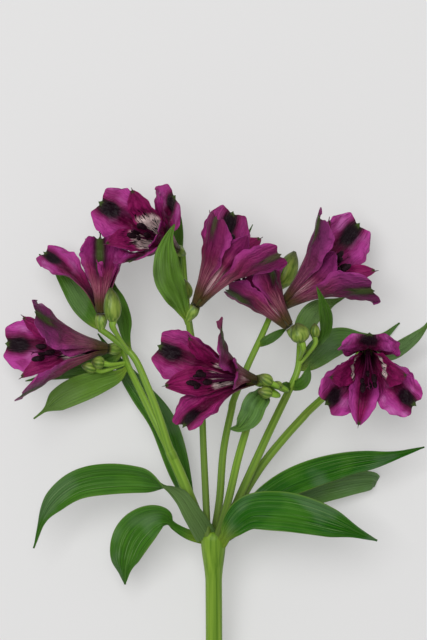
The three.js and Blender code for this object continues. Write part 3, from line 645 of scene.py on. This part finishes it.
# Each bud is its foot, its tip, its radius, and where its stalk leaves its ray.
BUDS = [
    ((-55, 90.5, 33), (-61.5, 91.5, 34), 3.3, (-47, 90, 29)),
    ((-59, 87.5, 30), (-66.5, 89.5, 32), 2.8, (-47, 89, 28)),
    ((-49.8, 111.5, 56), (-51, 128.5, 58), 4.4, (-42, 96, 43)),
    ((-13.6, 122.5, 53), (-15, 133, 54), 3.7, (-10.5, 103, 49)),
    ((-14.6, 116, 44), (-16.4, 120.5, 44), 1.6, (-10.5, 103, 48)),
    ((33.5, 129.2, 18), (41.5, 147.5, 16), 5.6, (25, 106, 33)),
    ((43.5, 101.5, 60), (41, 111, 62), 5, (43, 93, 51)),
    ((50.4, 103.5, 50), (50.4, 111, 50), 2.6, (43, 90, 50)),
    ((28.5, 81.5, 78), (22, 85.5, 81), 3, (29, 79, 67)),
    ((28.5, 76.4, 77), (21.5, 77.8, 80), 3, (29, 79, 67)),
    ((33.5, 79.5, 70), (29.5, 82, 73), 1.9, (29, 79, 67)),
]

# A branch is its route and the index of its flower.
RAYS = [
    dict(trunk=[(-4, 3, 34), (-10, 18, 36), (-16, 33, 38), (-22, 47, 41)], radius=3.0,
         branches=[([(-30, 63, 40), (-37, 77, 36), (-43, 89, 30)], 0),
                   ([(-27, 63, 43), (-33, 79, 44), (-40, 94, 43), (-50, 103, 41)], 1)],
         buds=[0, 1, 2]),
    dict(trunk=[(-3, 4, 39), (-5, 47, 44), (-6, 72, 45), (-8, 88, 47), (-10, 100, 49)], radius=1.8,
         branches=[([(-12, 107, 53)], 4), ([(-12, 112, 41), (-14, 127, 26)], 2)],
         buds=[3, 4]),
    dict(trunk=[(0, 3, 29), (3, 22, 32), (5, 47, 34), (10, 72, 36)], radius=2.0,
         branches=[([(17, 89, 36), (24, 104, 33)], 6)],
         buds=[5]),
    dict(trunk=[(2, 4, 39), (7, 21, 45), (12, 43, 53), (17, 61, 60)], radius=2.1,
         branches=[([(23, 73, 63)], 3)],
         buds=[8, 9, 10]),
    dict(trunk=[(4, 3, 32), (11, 19, 35), (19, 37, 39), (28, 57, 43), (37, 76, 47)], radius=2.2,
         branches=[([(42, 88, 49)], 5)],
         buds=[6, 7]),
    dict(trunk=[(5, 4, 36), (12, 19, 33), (23, 37, 30), (35, 52, 27), (48, 66, 22)], radius=2.3,
         branches=[([(62, 79, 17), (72, 92, 15)], 7)],
         buds=[]),
]

# Each leaf is its half-width, its route from root to tip, and its own values.
WHORL_LEAVES = [
    whorl_leaf(8, (-5.5, 3, 40), (-10, 15, 47), (-18, 26, 48), (-32, 32, 46), (-52, 33, 43),
               (-70, 29, 40), (-84, 16, 34), (-91, -3, 28), stalk=0.7, blade_start=0.22, widest=0.8,
               tail=0.55, roll=(180, 170, 10, 0, 0, 0)),
    whorl_leaf(10, (-5, 2, 33), (-12, 4, 32), (-19, 8, 34), (-25, 13, 38), (-33, 11, 38),
               (-41, 3, 34), (-45, -9, 28), (-45, -22, 20), stalk=0.3, blade_start=0.28, widest=0.8),
    whorl_leaf(7, (-4, 3, 28), (-14, 26, 22), (-25, 58, 14), (-37.5, 75.5, 10), (-50.5, 93, 6),
               (-59.5, 105.5, 4), stalk=0.3, blade_start=0.15),
    whorl_leaf(7.2, (4, 4, 30), (17, 17, 36), (33, 28, 38), (49, 35, 36), (68, 40, 32),
               (88, 43, 28), (107, 48, 24), stalk=0.25, blade_start=0.12, pale=0),
    whorl_leaf(7, (4, 0, 28), (16, 7, 22), (31, 16, 18), (49, 24, 14), (67, 28.5, 11),
               (80, 30, 7.5), (84, 29, 1.6), stalk=0.25, blade_start=0.2, widest=1.1, tail=0,
               taper=0.3, pale=0.35, dusty=0.5),
    whorl_leaf(10, (5.5, -1, 40), (9, 9, 48), (18, 17, 55), (31, 18, 58), (44, 16, 57),
               (60, 11, 52), (82, 2, 42), stalk=0.3, blade_start=0.05, widest=0.8, pale=0),
]

BRACTS = [
    bract(5.5, (-59, 110, 37), (-67, 121, 27), (-74, 132, 20), (-81, 141, 17), (-89, 146, 17)),
    bract(4.5, (-40, 96, 42), (-44, 105, 39), (-45, 112, 36), (-49, 123, 32), (-52, 134, 28),
          widest=1.3),
    bract(7, (-44, 88, 29), (-49, 84, 26), (-58, 81, 25), (-69, 77, 22), (-77, 73, 20),
          (-84, 68, 17), (-92, 62, 12), widest=1, tail=0.75, pale=0.5),
    bract(4.2, (-46, 96, 23), (-53, 92.5, 15), (-63, 88, 9), (-79, 85, 4), (-97, 81, 0.6)),
    bract(7.2, (-14, 114, 53), (-18, 124, 65), (-22, 133, 73), (-23, 143, 80), (-22, 152, 83),
          (-19, 159, 84), widest=1.05, wave=1.6, pucker=0.7, pale=0.45),
    bract(3.4, (-12, 118, 34), (-16, 129, 24), (-19, 143, 16), (-18, 158, 14), (-19, 170, 16),
          (-24, 178, 20)),
    bract(3, (-9, 119, 36), (1, 133, 26), (13, 148, 22), (20, 161, 24)),
    bract(2.4, (23, 99, 36), (30, 104, 36), (38, 109, 34)),
    bract(6, (25, 78, 64), (23.5, 75.5, 72), (20, 71, 77), (18, 66, 76), (13, 60, 73), (8, 59, 70),
          widest=1, wave=1.5, pucker=0.7, pale=0.35, dusty=0.8),
    bract(5.5, (43, 101, 44), (45, 108, 36), (50, 116, 28), (57, 120, 20), (67, 124, 13), pale=0.5,
          dusty=0.3),
    bract(3.4, (43, 96, 47), (50, 98.5, 43), (55.5, 105, 44), (56, 113, 52), (54, 121, 59),
          (51, 129, 62), widest=1.4),
    bract(7.5, (42, 88, 49), (47, 91, 41), (53, 96, 30), (59, 100, 20), (66, 102, 12), (76, 101, 6),
          (86, 103, 3), (96, 111, 0.6), pale=0.3, dusty=0.5),
    bract(4, (75, 96, 17), (83, 95, 13), (91, 96, 15), (99, 101, 19), (106, 107, 22),
          (111, 114, 24), pale=0.65, dusty=0.6),
    bract(3, (40, 77, 50), (45, 82, 52), (48, 91, 53)),
    bract(2.8, (38, 78, 53), (34, 79, 58), (30, 79, 63)),
]

STEM_PATH = Path([(0, 6, 36), (0, 0, 35), (0.3, -50, 25), (0.2, -100, 14.5),
                  (0, -STEM_LENGTH, STEM_RADIUS)])

# ---- stems and buds


def make_stem():
    def radius(s):
        swell = blend(STEM_TOP_RADIUS, STEM_RADIUS, fade(s, 0.03, 0.17))
        return swell * (0.75 + 0.25 * fade(s, 0, 0.02))

    shells = Shells()
    add_bar(shells, STEM_PATH, radius, 48, 150, ribs=7, depth=0.006)
    make_object("main_stem", shells, [STEM])


def neck_of(flower):
    """Where a branch ends under its flower."""
    return flower["base"] - flower["axis"] * (OVARY_LENGTH + 0.5)


def ray_paths(plan):
    """A ray's trunk and branches. Each branch starts inside the trunk's end."""
    trunk = Path(plan["trunk"])
    before_fork = trunk.at(1 - FORK_OVERLAP / trunk.length)
    branches = [Path([before_fork, plan["trunk"][-1], *route, neck_of(FLOWERS[flower])])
                for route, flower in plan["branches"]]
    return [trunk, *branches]


def add_trunk(shells, path, radius, chance):
    add_bar(shells, path, lambda s: radius * (1 - RAY_TAPER * s - 0.06 * fade(s, 0.95, 1)), 24,
            int(path.length), RAY_RIBS, RIB_DEPTH, (chance, 0, 1))


def add_branch(shells, path, radius, trunk_end, chance):
    """A branch that starts as thick as its trunk's end and soon has its own radius."""
    def radius_at(s):
        return blend(radius, min(radius, NECK_RADIUS), s) + (trunk_end - radius) * fade(s, 0.15, 0)

    add_bar(shells, path, radius_at, 20, int(path.length), RAY_RIBS, RIB_DEPTH, (chance, 0, 0))


def add_ovary(shells, flower):
    profile = [(-1, 1.3), (1.5, OVARY_RADIUS * 0.75), (4.5, OVARY_RADIUS),
               (OVARY_LENGTH, OVARY_RADIUS * 0.85)]
    add_turned(shells, neck_of(flower), flower["axis"], profile, 36, 24, ribs=6, depth=0.09, slot=1)


def add_bud_stalk(shells, bud, carriers, chance):
    """A stalk from the ray to a bud's foot, thicker where it meets the bud."""
    base, tip, radius, start = bud
    axis = unit(vec(tip) - base)
    path = Path(seated([start, base - axis * 3.5, base + axis * 0.5], carriers))
    add_bar(shells, path, lambda s: BUD_STALK_RADIUS + 0.25 * radius * s ** 3, 14,
            max(8, int(path.length)), tone=(chance, 0, 0))


def make_ray(number, plan, paths):
    """A trunk with its branches, the ovaries at their ends and the stalks of its buds."""
    trunk, *branches = paths
    radius = plan["radius"]
    branch_radius = radius * (FORK_SHARE if len(branches) > 1 else LONE_SHARE)
    chance = number / 7
    shells = Shells()
    add_trunk(shells, trunk, radius, chance)
    for path, (_, flower) in zip(branches, plan["branches"]):
        add_branch(shells, path, branch_radius, radius * (1 - RAY_TAPER), chance)
        add_ovary(shells, FLOWERS[flower])
    for index in plan["buds"]:
        add_bud_stalk(shells, BUDS[index], paths, chance)
    make_object(f"ray_{number}", shells, [RAY, OVARY])


def make_bud(number, bud):
    base, tip, radius, _ = bud
    way = vec(tip) - base
    length = np.linalg.norm(way)
    profile = [(0, radius * 0.4), (length * 0.18, radius * 0.85), (length * 0.45, radius),
               (length * 0.78, radius * 0.68), (length, radius * 0.14)]
    shells = Shells()
    add_turned(shells, base, unit(way), profile, 36, 32, ribs=3, depth=0.05)
    make_object(f"bud_{number}", shells, [BUD])


# ---- materials

# Colours are linear red, green and blue.
WINE = (0.15, 0.003, 0.046)
MAGENTA = (0.34, 0.01, 0.125)
VIOLET = (0.5, 0.055, 0.33)
# Painted highlight: a pale lilac laid on tepal lobes in place of their gloss.
PAINTED_LILAC_HIGHLIGHT = (0.68, 0.2, 0.54)
DUSKY_LILAC = (0.15, 0.047, 0.13)
DEEP_WINE = (0.04, 0.001, 0.014)
BLACK_PURPLE = (0.008, 0.001, 0.005)
CREAM = (0.9, 0.7, 0.68)
INNER_PINK = (0.3, 0.012, 0.12)
PALE_PINK = (0.6, 0.28, 0.3)
OUTSIDE_WINE = (0.16, 0.004, 0.048)
OUTSIDE_PINK = (0.36, 0.045, 0.12)
OUTSIDE_VIOLET = (0.25, 0.014, 0.14)
OUTSIDE_DARK = (0.05, 0.003, 0.024)
TIP_GREEN = (0.05, 0.09, 0.016)
DARK_OLIVE = (0.02, 0.016, 0.008)
FOOT_OLIVE = (0.055, 0.055, 0.009)
FOOT_VEIN = (0.14, 0.075, 0.03)
FILAMENT_TONES = (0.06, 0.006, 0.03), (0.16, 0.015, 0.08)
ANTHER_TONES = (0.006, 0.002, 0.004), (0.024, 0.008, 0.014)

LEAF_TONES = (0.007, 0.085, 0.0015), (0.03, 0.155, 0.004)
UNDER_TONES = (0.08, 0.16, 0.04), (0.14, 0.24, 0.07)
LEAF_PATCH = (0.06, 0.21, 0.01)
# Painted sheen: pale bluish patches laid on leaves in place of their gloss.
PAINTED_LEAF_SHEEN = (0.1, 0.19, 0.09)
PALE_LEAF = (0.22, 0.37, 0.055)
# Painted grey sheen, laid on leaves whose tone asks for it.
PAINTED_GREY_SHEEN = (0.14, 0.26, 0.12)
LEAF_LINE = (0.15, 0.3, 0.05)
LEAF_STROKE = (0.3, 0.42, 0.2)
LEAF_NERVE = (0.22, 0.36, 0.12)
LEAF_FOOT = (0.2, 0.32, 0.03)
LEAF_RIM = (0.16, 0.28, 0.03)
STEM_TONES = (0.07, 0.175, 0.003), (0.22, 0.37, 0.03)
RAY_TONES = (0.075, 0.185, 0.006), (0.26, 0.44, 0.045)
RAY_BLUSH = (0.13, 0.12, 0.02)
RAY_FOOT = (0.075, 0.12, 0.022)
OVARY_TONES = (0.1, 0.2, 0.02), (0.25, 0.37, 0.06)
BUD_TONES = (0.055, 0.13, 0.008), (0.27, 0.37, 0.06)
BUD_TIP = (0.05, 0.05, 0.02)
FLOOR_GREY = (0.5, 0.497, 0.497)

# The near-black spot on an outer tepal's inner face.
SPOT_CENTRE = 0.885
SPOT_HALF_LENGTH = 0.135
SPOT_HALF_WIDTH = 0.31


class Graph:
    """Short calls that build a material's nodes."""

    def __init__(self, name, roughness, **sockets):
        self.material = bpy.data.materials.new(name)
        self.material.use_nodes = True
        self.tree = self.material.node_tree
        self.shader = self.tree.nodes["Principled BSDF"]
        self.shader.inputs["Roughness"].default_value = roughness
        for socket, value in sockets.items():
            self.shader.inputs[socket.replace("_", " ")].default_value = value

    def put(self, node, key, value):
        if isinstance(value, bpy.types.NodeSocket):
            self.tree.links.new(value, node.inputs[key])
        else:
            node.inputs[key].default_value = value

    def add(self, kind, inputs, **settings):
        """The outputs of a new node with these inputs and settings."""
        node = self.tree.nodes.new(f"ShaderNode{kind}")
        for key, value in settings.items():
            setattr(node, key, value)
        for key, value in inputs.items():
            self.put(node, key, value)
        return node.outputs

    def attribute(self, name):
        return self.add("Attribute", {}, attribute_name=name)["Vector"]

    def vector(self, name):
        """The three numbers of an attribute."""
        return self.add("SeparateXYZ", {0: self.attribute(name)})

    def math(self, operation, *values):
        return self.add("Math", dict(enumerate(values)), operation=operation)[0]

    def times(self, *values):
        product = values[0]
        for value in values[1:]:
            product = self.math("MULTIPLY", product, value)
        return product

    def shifted(self, value, by, middle, *reach):
        """A value, moved by how far another is from its middle times the reach."""
        return self.math("ADD", value, self.times(self.math("SUBTRACT", by, middle), *reach))

    def fade(self, value, low, high):
        """0 at low and 1 at high, eased, in either order."""
        ends = (1.0, 0.0) if low > high else (0.0, 1.0)
        inputs = enumerate((value, min(low, high), max(low, high), *ends))
        return self.add("MapRange", dict(inputs), interpolation_type="SMOOTHSTEP")[0]

    def mix(self, share, a, b):
        return self.add("Mix", {0: share, 6: colour(a), 7: colour(b)}, data_type="RGBA")[2]

    def layers(self, body, *laid):
        """Colours laid over a body in turn, each by the product of its shares."""
        for over, *shares in laid:
            body = self.mix(self.times(*shares), body, over)
        return body

    def noise(self, name, stretch, detail=2.0):
        place = self.add("VectorMath", {0: self.attribute(name), 1: stretch}, operation="MULTIPLY")
        return self.add("TexNoise", {"Vector": place[0], "Scale": 1.0, "Detail": detail})["Fac"]

    def bump(self, height, distance):
        bump = self.add("Bump", {"Height": height, "Distance": distance})
        self.put(self.shader, "Normal", bump[0])

    def done(self, base_colour):
        self.put(self.shader, "Base Color", colour(base_colour))
        return self.material


def colour(value):
    return value if isinstance(value, bpy.types.NodeSocket) else (*value, 1.0)


class TepalGraph(Graph):
    """What both kinds of tepal read, and their outer face and creases."""

    def __init__(self, name, veins_across, clouds_across):
        super().__init__(name, 0.45, Specular_IOR_Level=0.16)
        self.t, self.s, self.inner_face = self.vector("shape")
        self.light, self.mark, self.reach = self.vector("tone")
        self.middle = self.math("ABSOLUTE", self.t)
        self.veins = self.fade(self.noise("shape", (veins_across, 0.8, 3)), 0.35, 0.65)
        self.streaks = self.noise("shape", (30, 1.4, 3))
        self.clouds = self.fade(self.noise("grain", (clouds_across, 0.07, 0.4)), 0.38, 0.62)

    def across(self, low, high):
        """A fade by the distance from the tepal's middle line."""
        return self.fade(self.middle, low, high)

    def along(self, low, high):
        return self.fade(self.s, low, high)

    def lit(self, low, high):
        return self.fade(self.light, low, high)

    def outer_face(self, green):
        """Olive at the foot, pink-veined wine above, violet lobes, and a dark green keel and tip."""
        veins, along, across, lit = self.veins, self.along, self.across, self.lit
        ragged = self.shifted(self.s, veins, 0.5, 0.1)
        ragged = self.shifted(ragged, green, 1.0, 0.2)
        keel = self.math("MINIMUM", green, 1.0)
        return self.layers(
            self.mix(self.fade(veins, -0.5, 1.6), OUTSIDE_WINE, OUTSIDE_PINK),
            (WINE, self.clouds, along(0.25, 0.5), 0.6),
            (OUTSIDE_DARK, lit(0.5, -0.3), 0.8),
            (PALE_PINK, veins, along(0.1, 0.25), along(0.6, 0.3), 0.4),
            (OUTSIDE_VIOLET, along(0.5, 0.85), lit(-0.5, 0.7)),
            (DUSKY_LILAC, lit(0.45, 1.1), 0.5),
            (VIOLET, across(0.6, 1.0), along(0.3, 0.6), 0.5),
            (self.mix(veins, FOOT_OLIVE, FOOT_VEIN), along(0.34, 0.06)),
            (OUTSIDE_DARK, across(0.5, 0.12), self.fade(ragged, 0.5, 0.85), green, 0.9),
            (TIP_GREEN, across(0.28, 0.06), self.fade(ragged, 0.66, 0.88), keel, 0.85))

    def finished(self, inner_face, outer_face):
        creases = self.noise("grain", (0.5, 0.22, 0.7))
        self.bump(self.math("ADD", self.streaks, self.times(creases, 3.0)), 0.0006)
        return self.done(self.mix(self.inner_face, outer_face, inner_face))


def outer_tepal_material():
    """Wine and magenta with violet lobes, painted lilac highlights, dark veins, a near-black spot and a
    green point.
    """
    graph = TepalGraph("outer_tepal", 12, 0.12)
    across, along, lit = graph.across, graph.along, graph.lit
    painted_glints = graph.noise("grain", (0.16, 0.1, 0.7))
    down = graph.math("DIVIDE", graph.math("SUBTRACT", graph.s, SPOT_CENTRE), SPOT_HALF_LENGTH)
    over = graph.math("DIVIDE", graph.t, SPOT_HALF_WIDTH)
    spot = graph.math("SQRT", graph.math("ADD", graph.times(down, down), graph.times(over, over)))
    spot = graph.shifted(spot, graph.streaks, 0.5, 1.5)
    body = graph.layers(
        graph.mix(graph.times(graph.veins, graph.fade(graph.clouds, -0.4, 1.0)), WINE, MAGENTA),
        (VIOLET, across(0.1, 0.75), along(0.38, 0.8), graph.fade(graph.clouds, -0.8, 0.8),
         lit(-0.4, 0.8)),
        # painted highlight: lilac glints on the lobes, stronger on lighter flowers
        (PAINTED_LILAC_HIGHLIGHT, graph.fade(painted_glints, 0.5, 0.74), along(0.45, 0.7), lit(-0.2, 1.0), 0.65),
        # deep wine towards the foot: partly the tepal's own colour, partly painted shade in the throat
        (DEEP_WINE, along(0.5, 0.12)),
        (DEEP_WINE, across(0.5, 0.1), along(0.35, 0.65), 0.6),
        (DEEP_WINE, graph.fade(graph.streaks, 0.56, 0.66), along(0.97, 0.6), 0.5),
        (DEEP_WINE, graph.fade(spot, 1.7, 0.9), 0.6),
        (BLACK_PURPLE, graph.fade(spot, 1.15, 0.7)),
        (DARK_OLIVE, along(0.94, 0.985), across(0.3, 0.14), 0.7),
        (TIP_GREEN, along(0.965, 0.99), across(0.14, 0.07)))
    return graph.finished(body, graph.outer_face(graph.mark))


def inner_tepal_material():
    """The upper two have a feathered pale ground with dark flecks, and the lower one a dark middle."""
    graph = TepalGraph("inner_tepal", 10, 0.16)
    across, along, lit = graph.across, graph.along, graph.lit
    upper = graph.fade(graph.mark, 0.1, 0.2)
    lower = graph.math("SUBTRACT", 1.0, upper)
    flecks = graph.noise("shape", (12, 7, 3), 1.0)
    feather = graph.shifted(graph.s, graph.streaks, 0.5, graph.reach, graph.reach, 9.0)
    away = graph.math("ABSOLUTE", graph.math("SUBTRACT", feather, graph.mark))
    away = graph.math("DIVIDE", away, graph.math("MAXIMUM", graph.reach, 0.01))
    body = graph.layers(
        graph.mix(graph.times(graph.veins, graph.fade(graph.clouds, -0.6, 1.0)), WINE, MAGENTA),
        (INNER_PINK, upper, along(0.5, 0.75), lit(-0.6, 1.0)),
        (VIOLET, lower, across(0.2, 0.8), along(0.35, 0.7), lit(-0.4, 0.7)),
        # deep wine towards the foot: partly the tepal's own colour, partly painted shade in the throat
        (DEEP_WINE, along(0.36, 0.18)),
        (CREAM, graph.fade(away, 1.2, 0.8), across(0.95, 0.65), upper),
        (BLACK_PURPLE, graph.fade(flecks, 0.55, 0.58), graph.fade(away, 1.9, 1.5), across(1.0, 0.8),
         upper),
        (DEEP_WINE, across(0.7, 0.1), along(0.2, 0.4), along(0.88, 0.66), lower, 0.85),
        (TIP_GREEN, along(0.95, 0.99), across(0.9, 0.3)))
    throat = (graph.mix(graph.veins, OUTSIDE_PINK, CREAM), along(0.1, 0.25), along(0.6, 0.3),
              across(0.7, 0.2), 0.6)
    return graph.finished(body, graph.layers(graph.outer_face(0.0), throat))


def leaf_material():
    """Veined green with brighter patches and a painted bluish sheen, pale and with a painted grey sheen
    where a tone says so.
    """
    graph = Graph("leaf", 0.42, Specular_IOR_Level=0.15)
    t, s, upper_face = graph.vector("shape")
    _, pale, dusty = graph.vector("tone")
    veins = graph.noise("shape", (14, 0.7, 4))
    lines = graph.noise("shape", (34, 0.6, 4))
    strokes = graph.noise("shape", (26, 2.2, 5), 1.0)
    nerves = graph.noise("shape", (7, 0.25, 5), 0.0)
    patches = graph.noise("grain", (0.08, 0.05, 0.3))
    sheen = graph.noise("grain", (0.05, 0.035, 0.2))
    veined = graph.fade(veins, 0.3, 0.7)
    body = graph.layers(
        graph.mix(veined, *LEAF_TONES),
        (LEAF_PATCH, graph.fade(patches, 0.48, 0.72), 0.5),
        # painted sheen: bluish highlight patches
        (PAINTED_LEAF_SHEEN, graph.fade(sheen, 0.5, 0.64), 0.6),
        (PALE_LEAF, pale),
        # painted grey sheen, as far as the leaf's tone asks for it
        (PAINTED_GREY_SHEEN, dusty, graph.fade(sheen, 0.25, 0.6)),
        (LEAF_LINE, graph.fade(lines, 0.57, 0.66), 0.35),
        (LEAF_STROKE, graph.fade(strokes, 0.67, 0.71), 0.6),
        (LEAF_NERVE, graph.fade(nerves, 0.485, 0.5), graph.fade(nerves, 0.515, 0.5), 0.45),
        (LEAF_FOOT, graph.fade(s, 0.2, 0.02)),
        (LEAF_RIM, graph.fade(graph.math("ABSOLUTE", t), 0.93, 1.0), 0.6))
    graph.bump(graph.math("ADD", veins, lines), 0.0005)
    return graph.done(graph.mix(upper_face, graph.mix(veined, *UNDER_TONES), body))


def stem_material(name, tones):
    graph = Graph(name, 0.45, Specular_IOR_Level=0.3)
    along = graph.vector("shape")[1]
    chance, _, trunk = graph.vector("tone")
    stripes = graph.noise("grain", (0.5, 0.5, 0.012), 3.0)
    blush = graph.noise("grain", (0.15, 0.15, 0.03))
    graph.bump(graph.noise("grain", (3.5, 3.5, 0.05)), 0.0002)
    return graph.done(graph.layers(
        graph.mix(graph.fade(stripes, 0.22, 0.74), *tones),
        (RAY_BLUSH, graph.fade(blush, 0.45, 0.7), chance, 0.5),
        (RAY_FOOT, graph.fade(along, 0.8, 0.05), trunk, 0.75)))


def ovary_material():
    graph = Graph("ovary", 0.45, Specular_IOR_Level=0.3)
    along = graph.vector("shape")[1]
    mottle = graph.noise("grain", (0.8, 0.8, 0.3))
    graph.bump(mottle, 0.0002)
    body = graph.mix(graph.fade(mottle, 0.35, 0.65), *OVARY_TONES)
    return graph.done(graph.layers(body, (FOOT_OLIVE, graph.fade(along, 0.8, 1.0))))


def bud_material():
    graph = Graph("bud", 0.42, Specular_IOR_Level=0.3)
    along = graph.vector("shape")[1]
    stripes = graph.noise("grain", (0.7, 0.7, 0.06), 3.0)
    graph.bump(stripes, 0.0004)
    body = graph.mix(graph.fade(stripes, 0.3, 0.7), *BUD_TONES)
    return graph.done(graph.layers(body, (BUD_TIP, graph.fade(along, 0.5, 1.0), 0.8)))


def core_material():
    graph = Graph("tube", 0.5, Specular_IOR_Level=0.2)
    mottle = graph.noise("grain", (0.8, 0.8, 0.3))
    return graph.done(graph.mix(graph.fade(mottle, 0.35, 0.65), DARK_OLIVE, FOOT_OLIVE))


def stamen_material(name, tones):
    graph = Graph(name, 0.6, Specular_IOR_Level=0.1)
    grainy = graph.noise("grain", (2.2, 2.2, 1.4), 3.0)
    graph.bump(grainy, 0.0003)
    return graph.done(graph.mix(graph.fade(grainy, 0.35, 0.65), *tones))


# ---- floor, light and camera


def make_floor():
    mesh = bpy.data.meshes.new("floor")
    corners = [(x * FLOOR_HALF, y * FLOOR_HALF, 0) for x, y in ((-1, -1), (1, -1), (1, 1), (-1, 1))]
    mesh.from_pydata(corners, [], [(0, 1, 2, 3)])
    graph = Graph("floor", 0.9, Emission_Color=(1.0, 0.995, 0.99, 1.0), Emission_Strength=FLOOR_GLOW)
    mesh.materials.append(graph.done(FLOOR_GREY))
    floor = new_object("floor", mesh)


def make_light():
    """A soft square light that faces the flowers."""
    data = bpy.data.lights.new("key", "AREA")
    data.size = LIGHT_SIZE
    data.energy = LIGHT_POWER
    light = new_object("key", data)
    light.location = LIGHT_PLACE
    way = Vector(packed(LIGHT_AIM)) - light.location
    light.rotation_euler = way.to_track_quat("-Z", "Y").to_euler()


def make_world():
    world = bpy.data.worlds.new("studio")
    world.use_nodes = True
    background = world.node_tree.nodes["Background"]
    background.inputs["Color"].default_value = (1.0, 1.0, 1.0, 1.0)
    background.inputs["Strength"].default_value = SKY_STRENGTH
    bpy.context.scene.world = world


def make_camera():
    data = bpy.data.cameras.new("camera")
    data.sensor_fit = "VERTICAL"
    data.sensor_height = SENSOR
    data.lens = SENSOR * CAMERA_RANGE / VIEW_HEIGHT
    data.clip_end = FAR_CLIP
    camera = new_object("camera", data)
    camera.location = packed(CAMERA_PLACE)
    bpy.context.scene.camera = camera


# ---- the finished scene

OUTER_TEPAL = outer_tepal_material()
INNER_TEPAL = inner_tepal_material()
CORE = core_material()
LEAF_BLADE = leaf_material()
STEM = stem_material("main_stem", STEM_TONES)
RAY = stem_material("ray", RAY_TONES)
OVARY = ovary_material()
BUD = bud_material()
FILAMENT = stamen_material("filament", FILAMENT_TONES)
ANTHER = stamen_material("anther", ANTHER_TONES)

make_camera()
make_stem()
ray_routes = []
for number, plan in enumerate(RAYS, 1):
    paths = ray_paths(plan)
    ray_routes += paths
    make_ray(number, plan, paths)
for number, leaf in enumerate(WHORL_LEAVES, 1):
    make_leaf(f"whorl_leaf_{number}", leaf, [STEM_PATH])
for number, leaf in enumerate(BRACTS, 1):
    make_leaf(f"bract_{number}", leaf, ray_routes)
for number, flower in enumerate(FLOWERS, 1):
    make_bloom(number, flower)
    make_stamens(number, flower)
for number, bud in enumerate(BUDS, 1):
    make_bud(number, bud)
make_floor()
make_world()
make_light()
bpy.context.scene.view_settings.view_transform = "Standard"
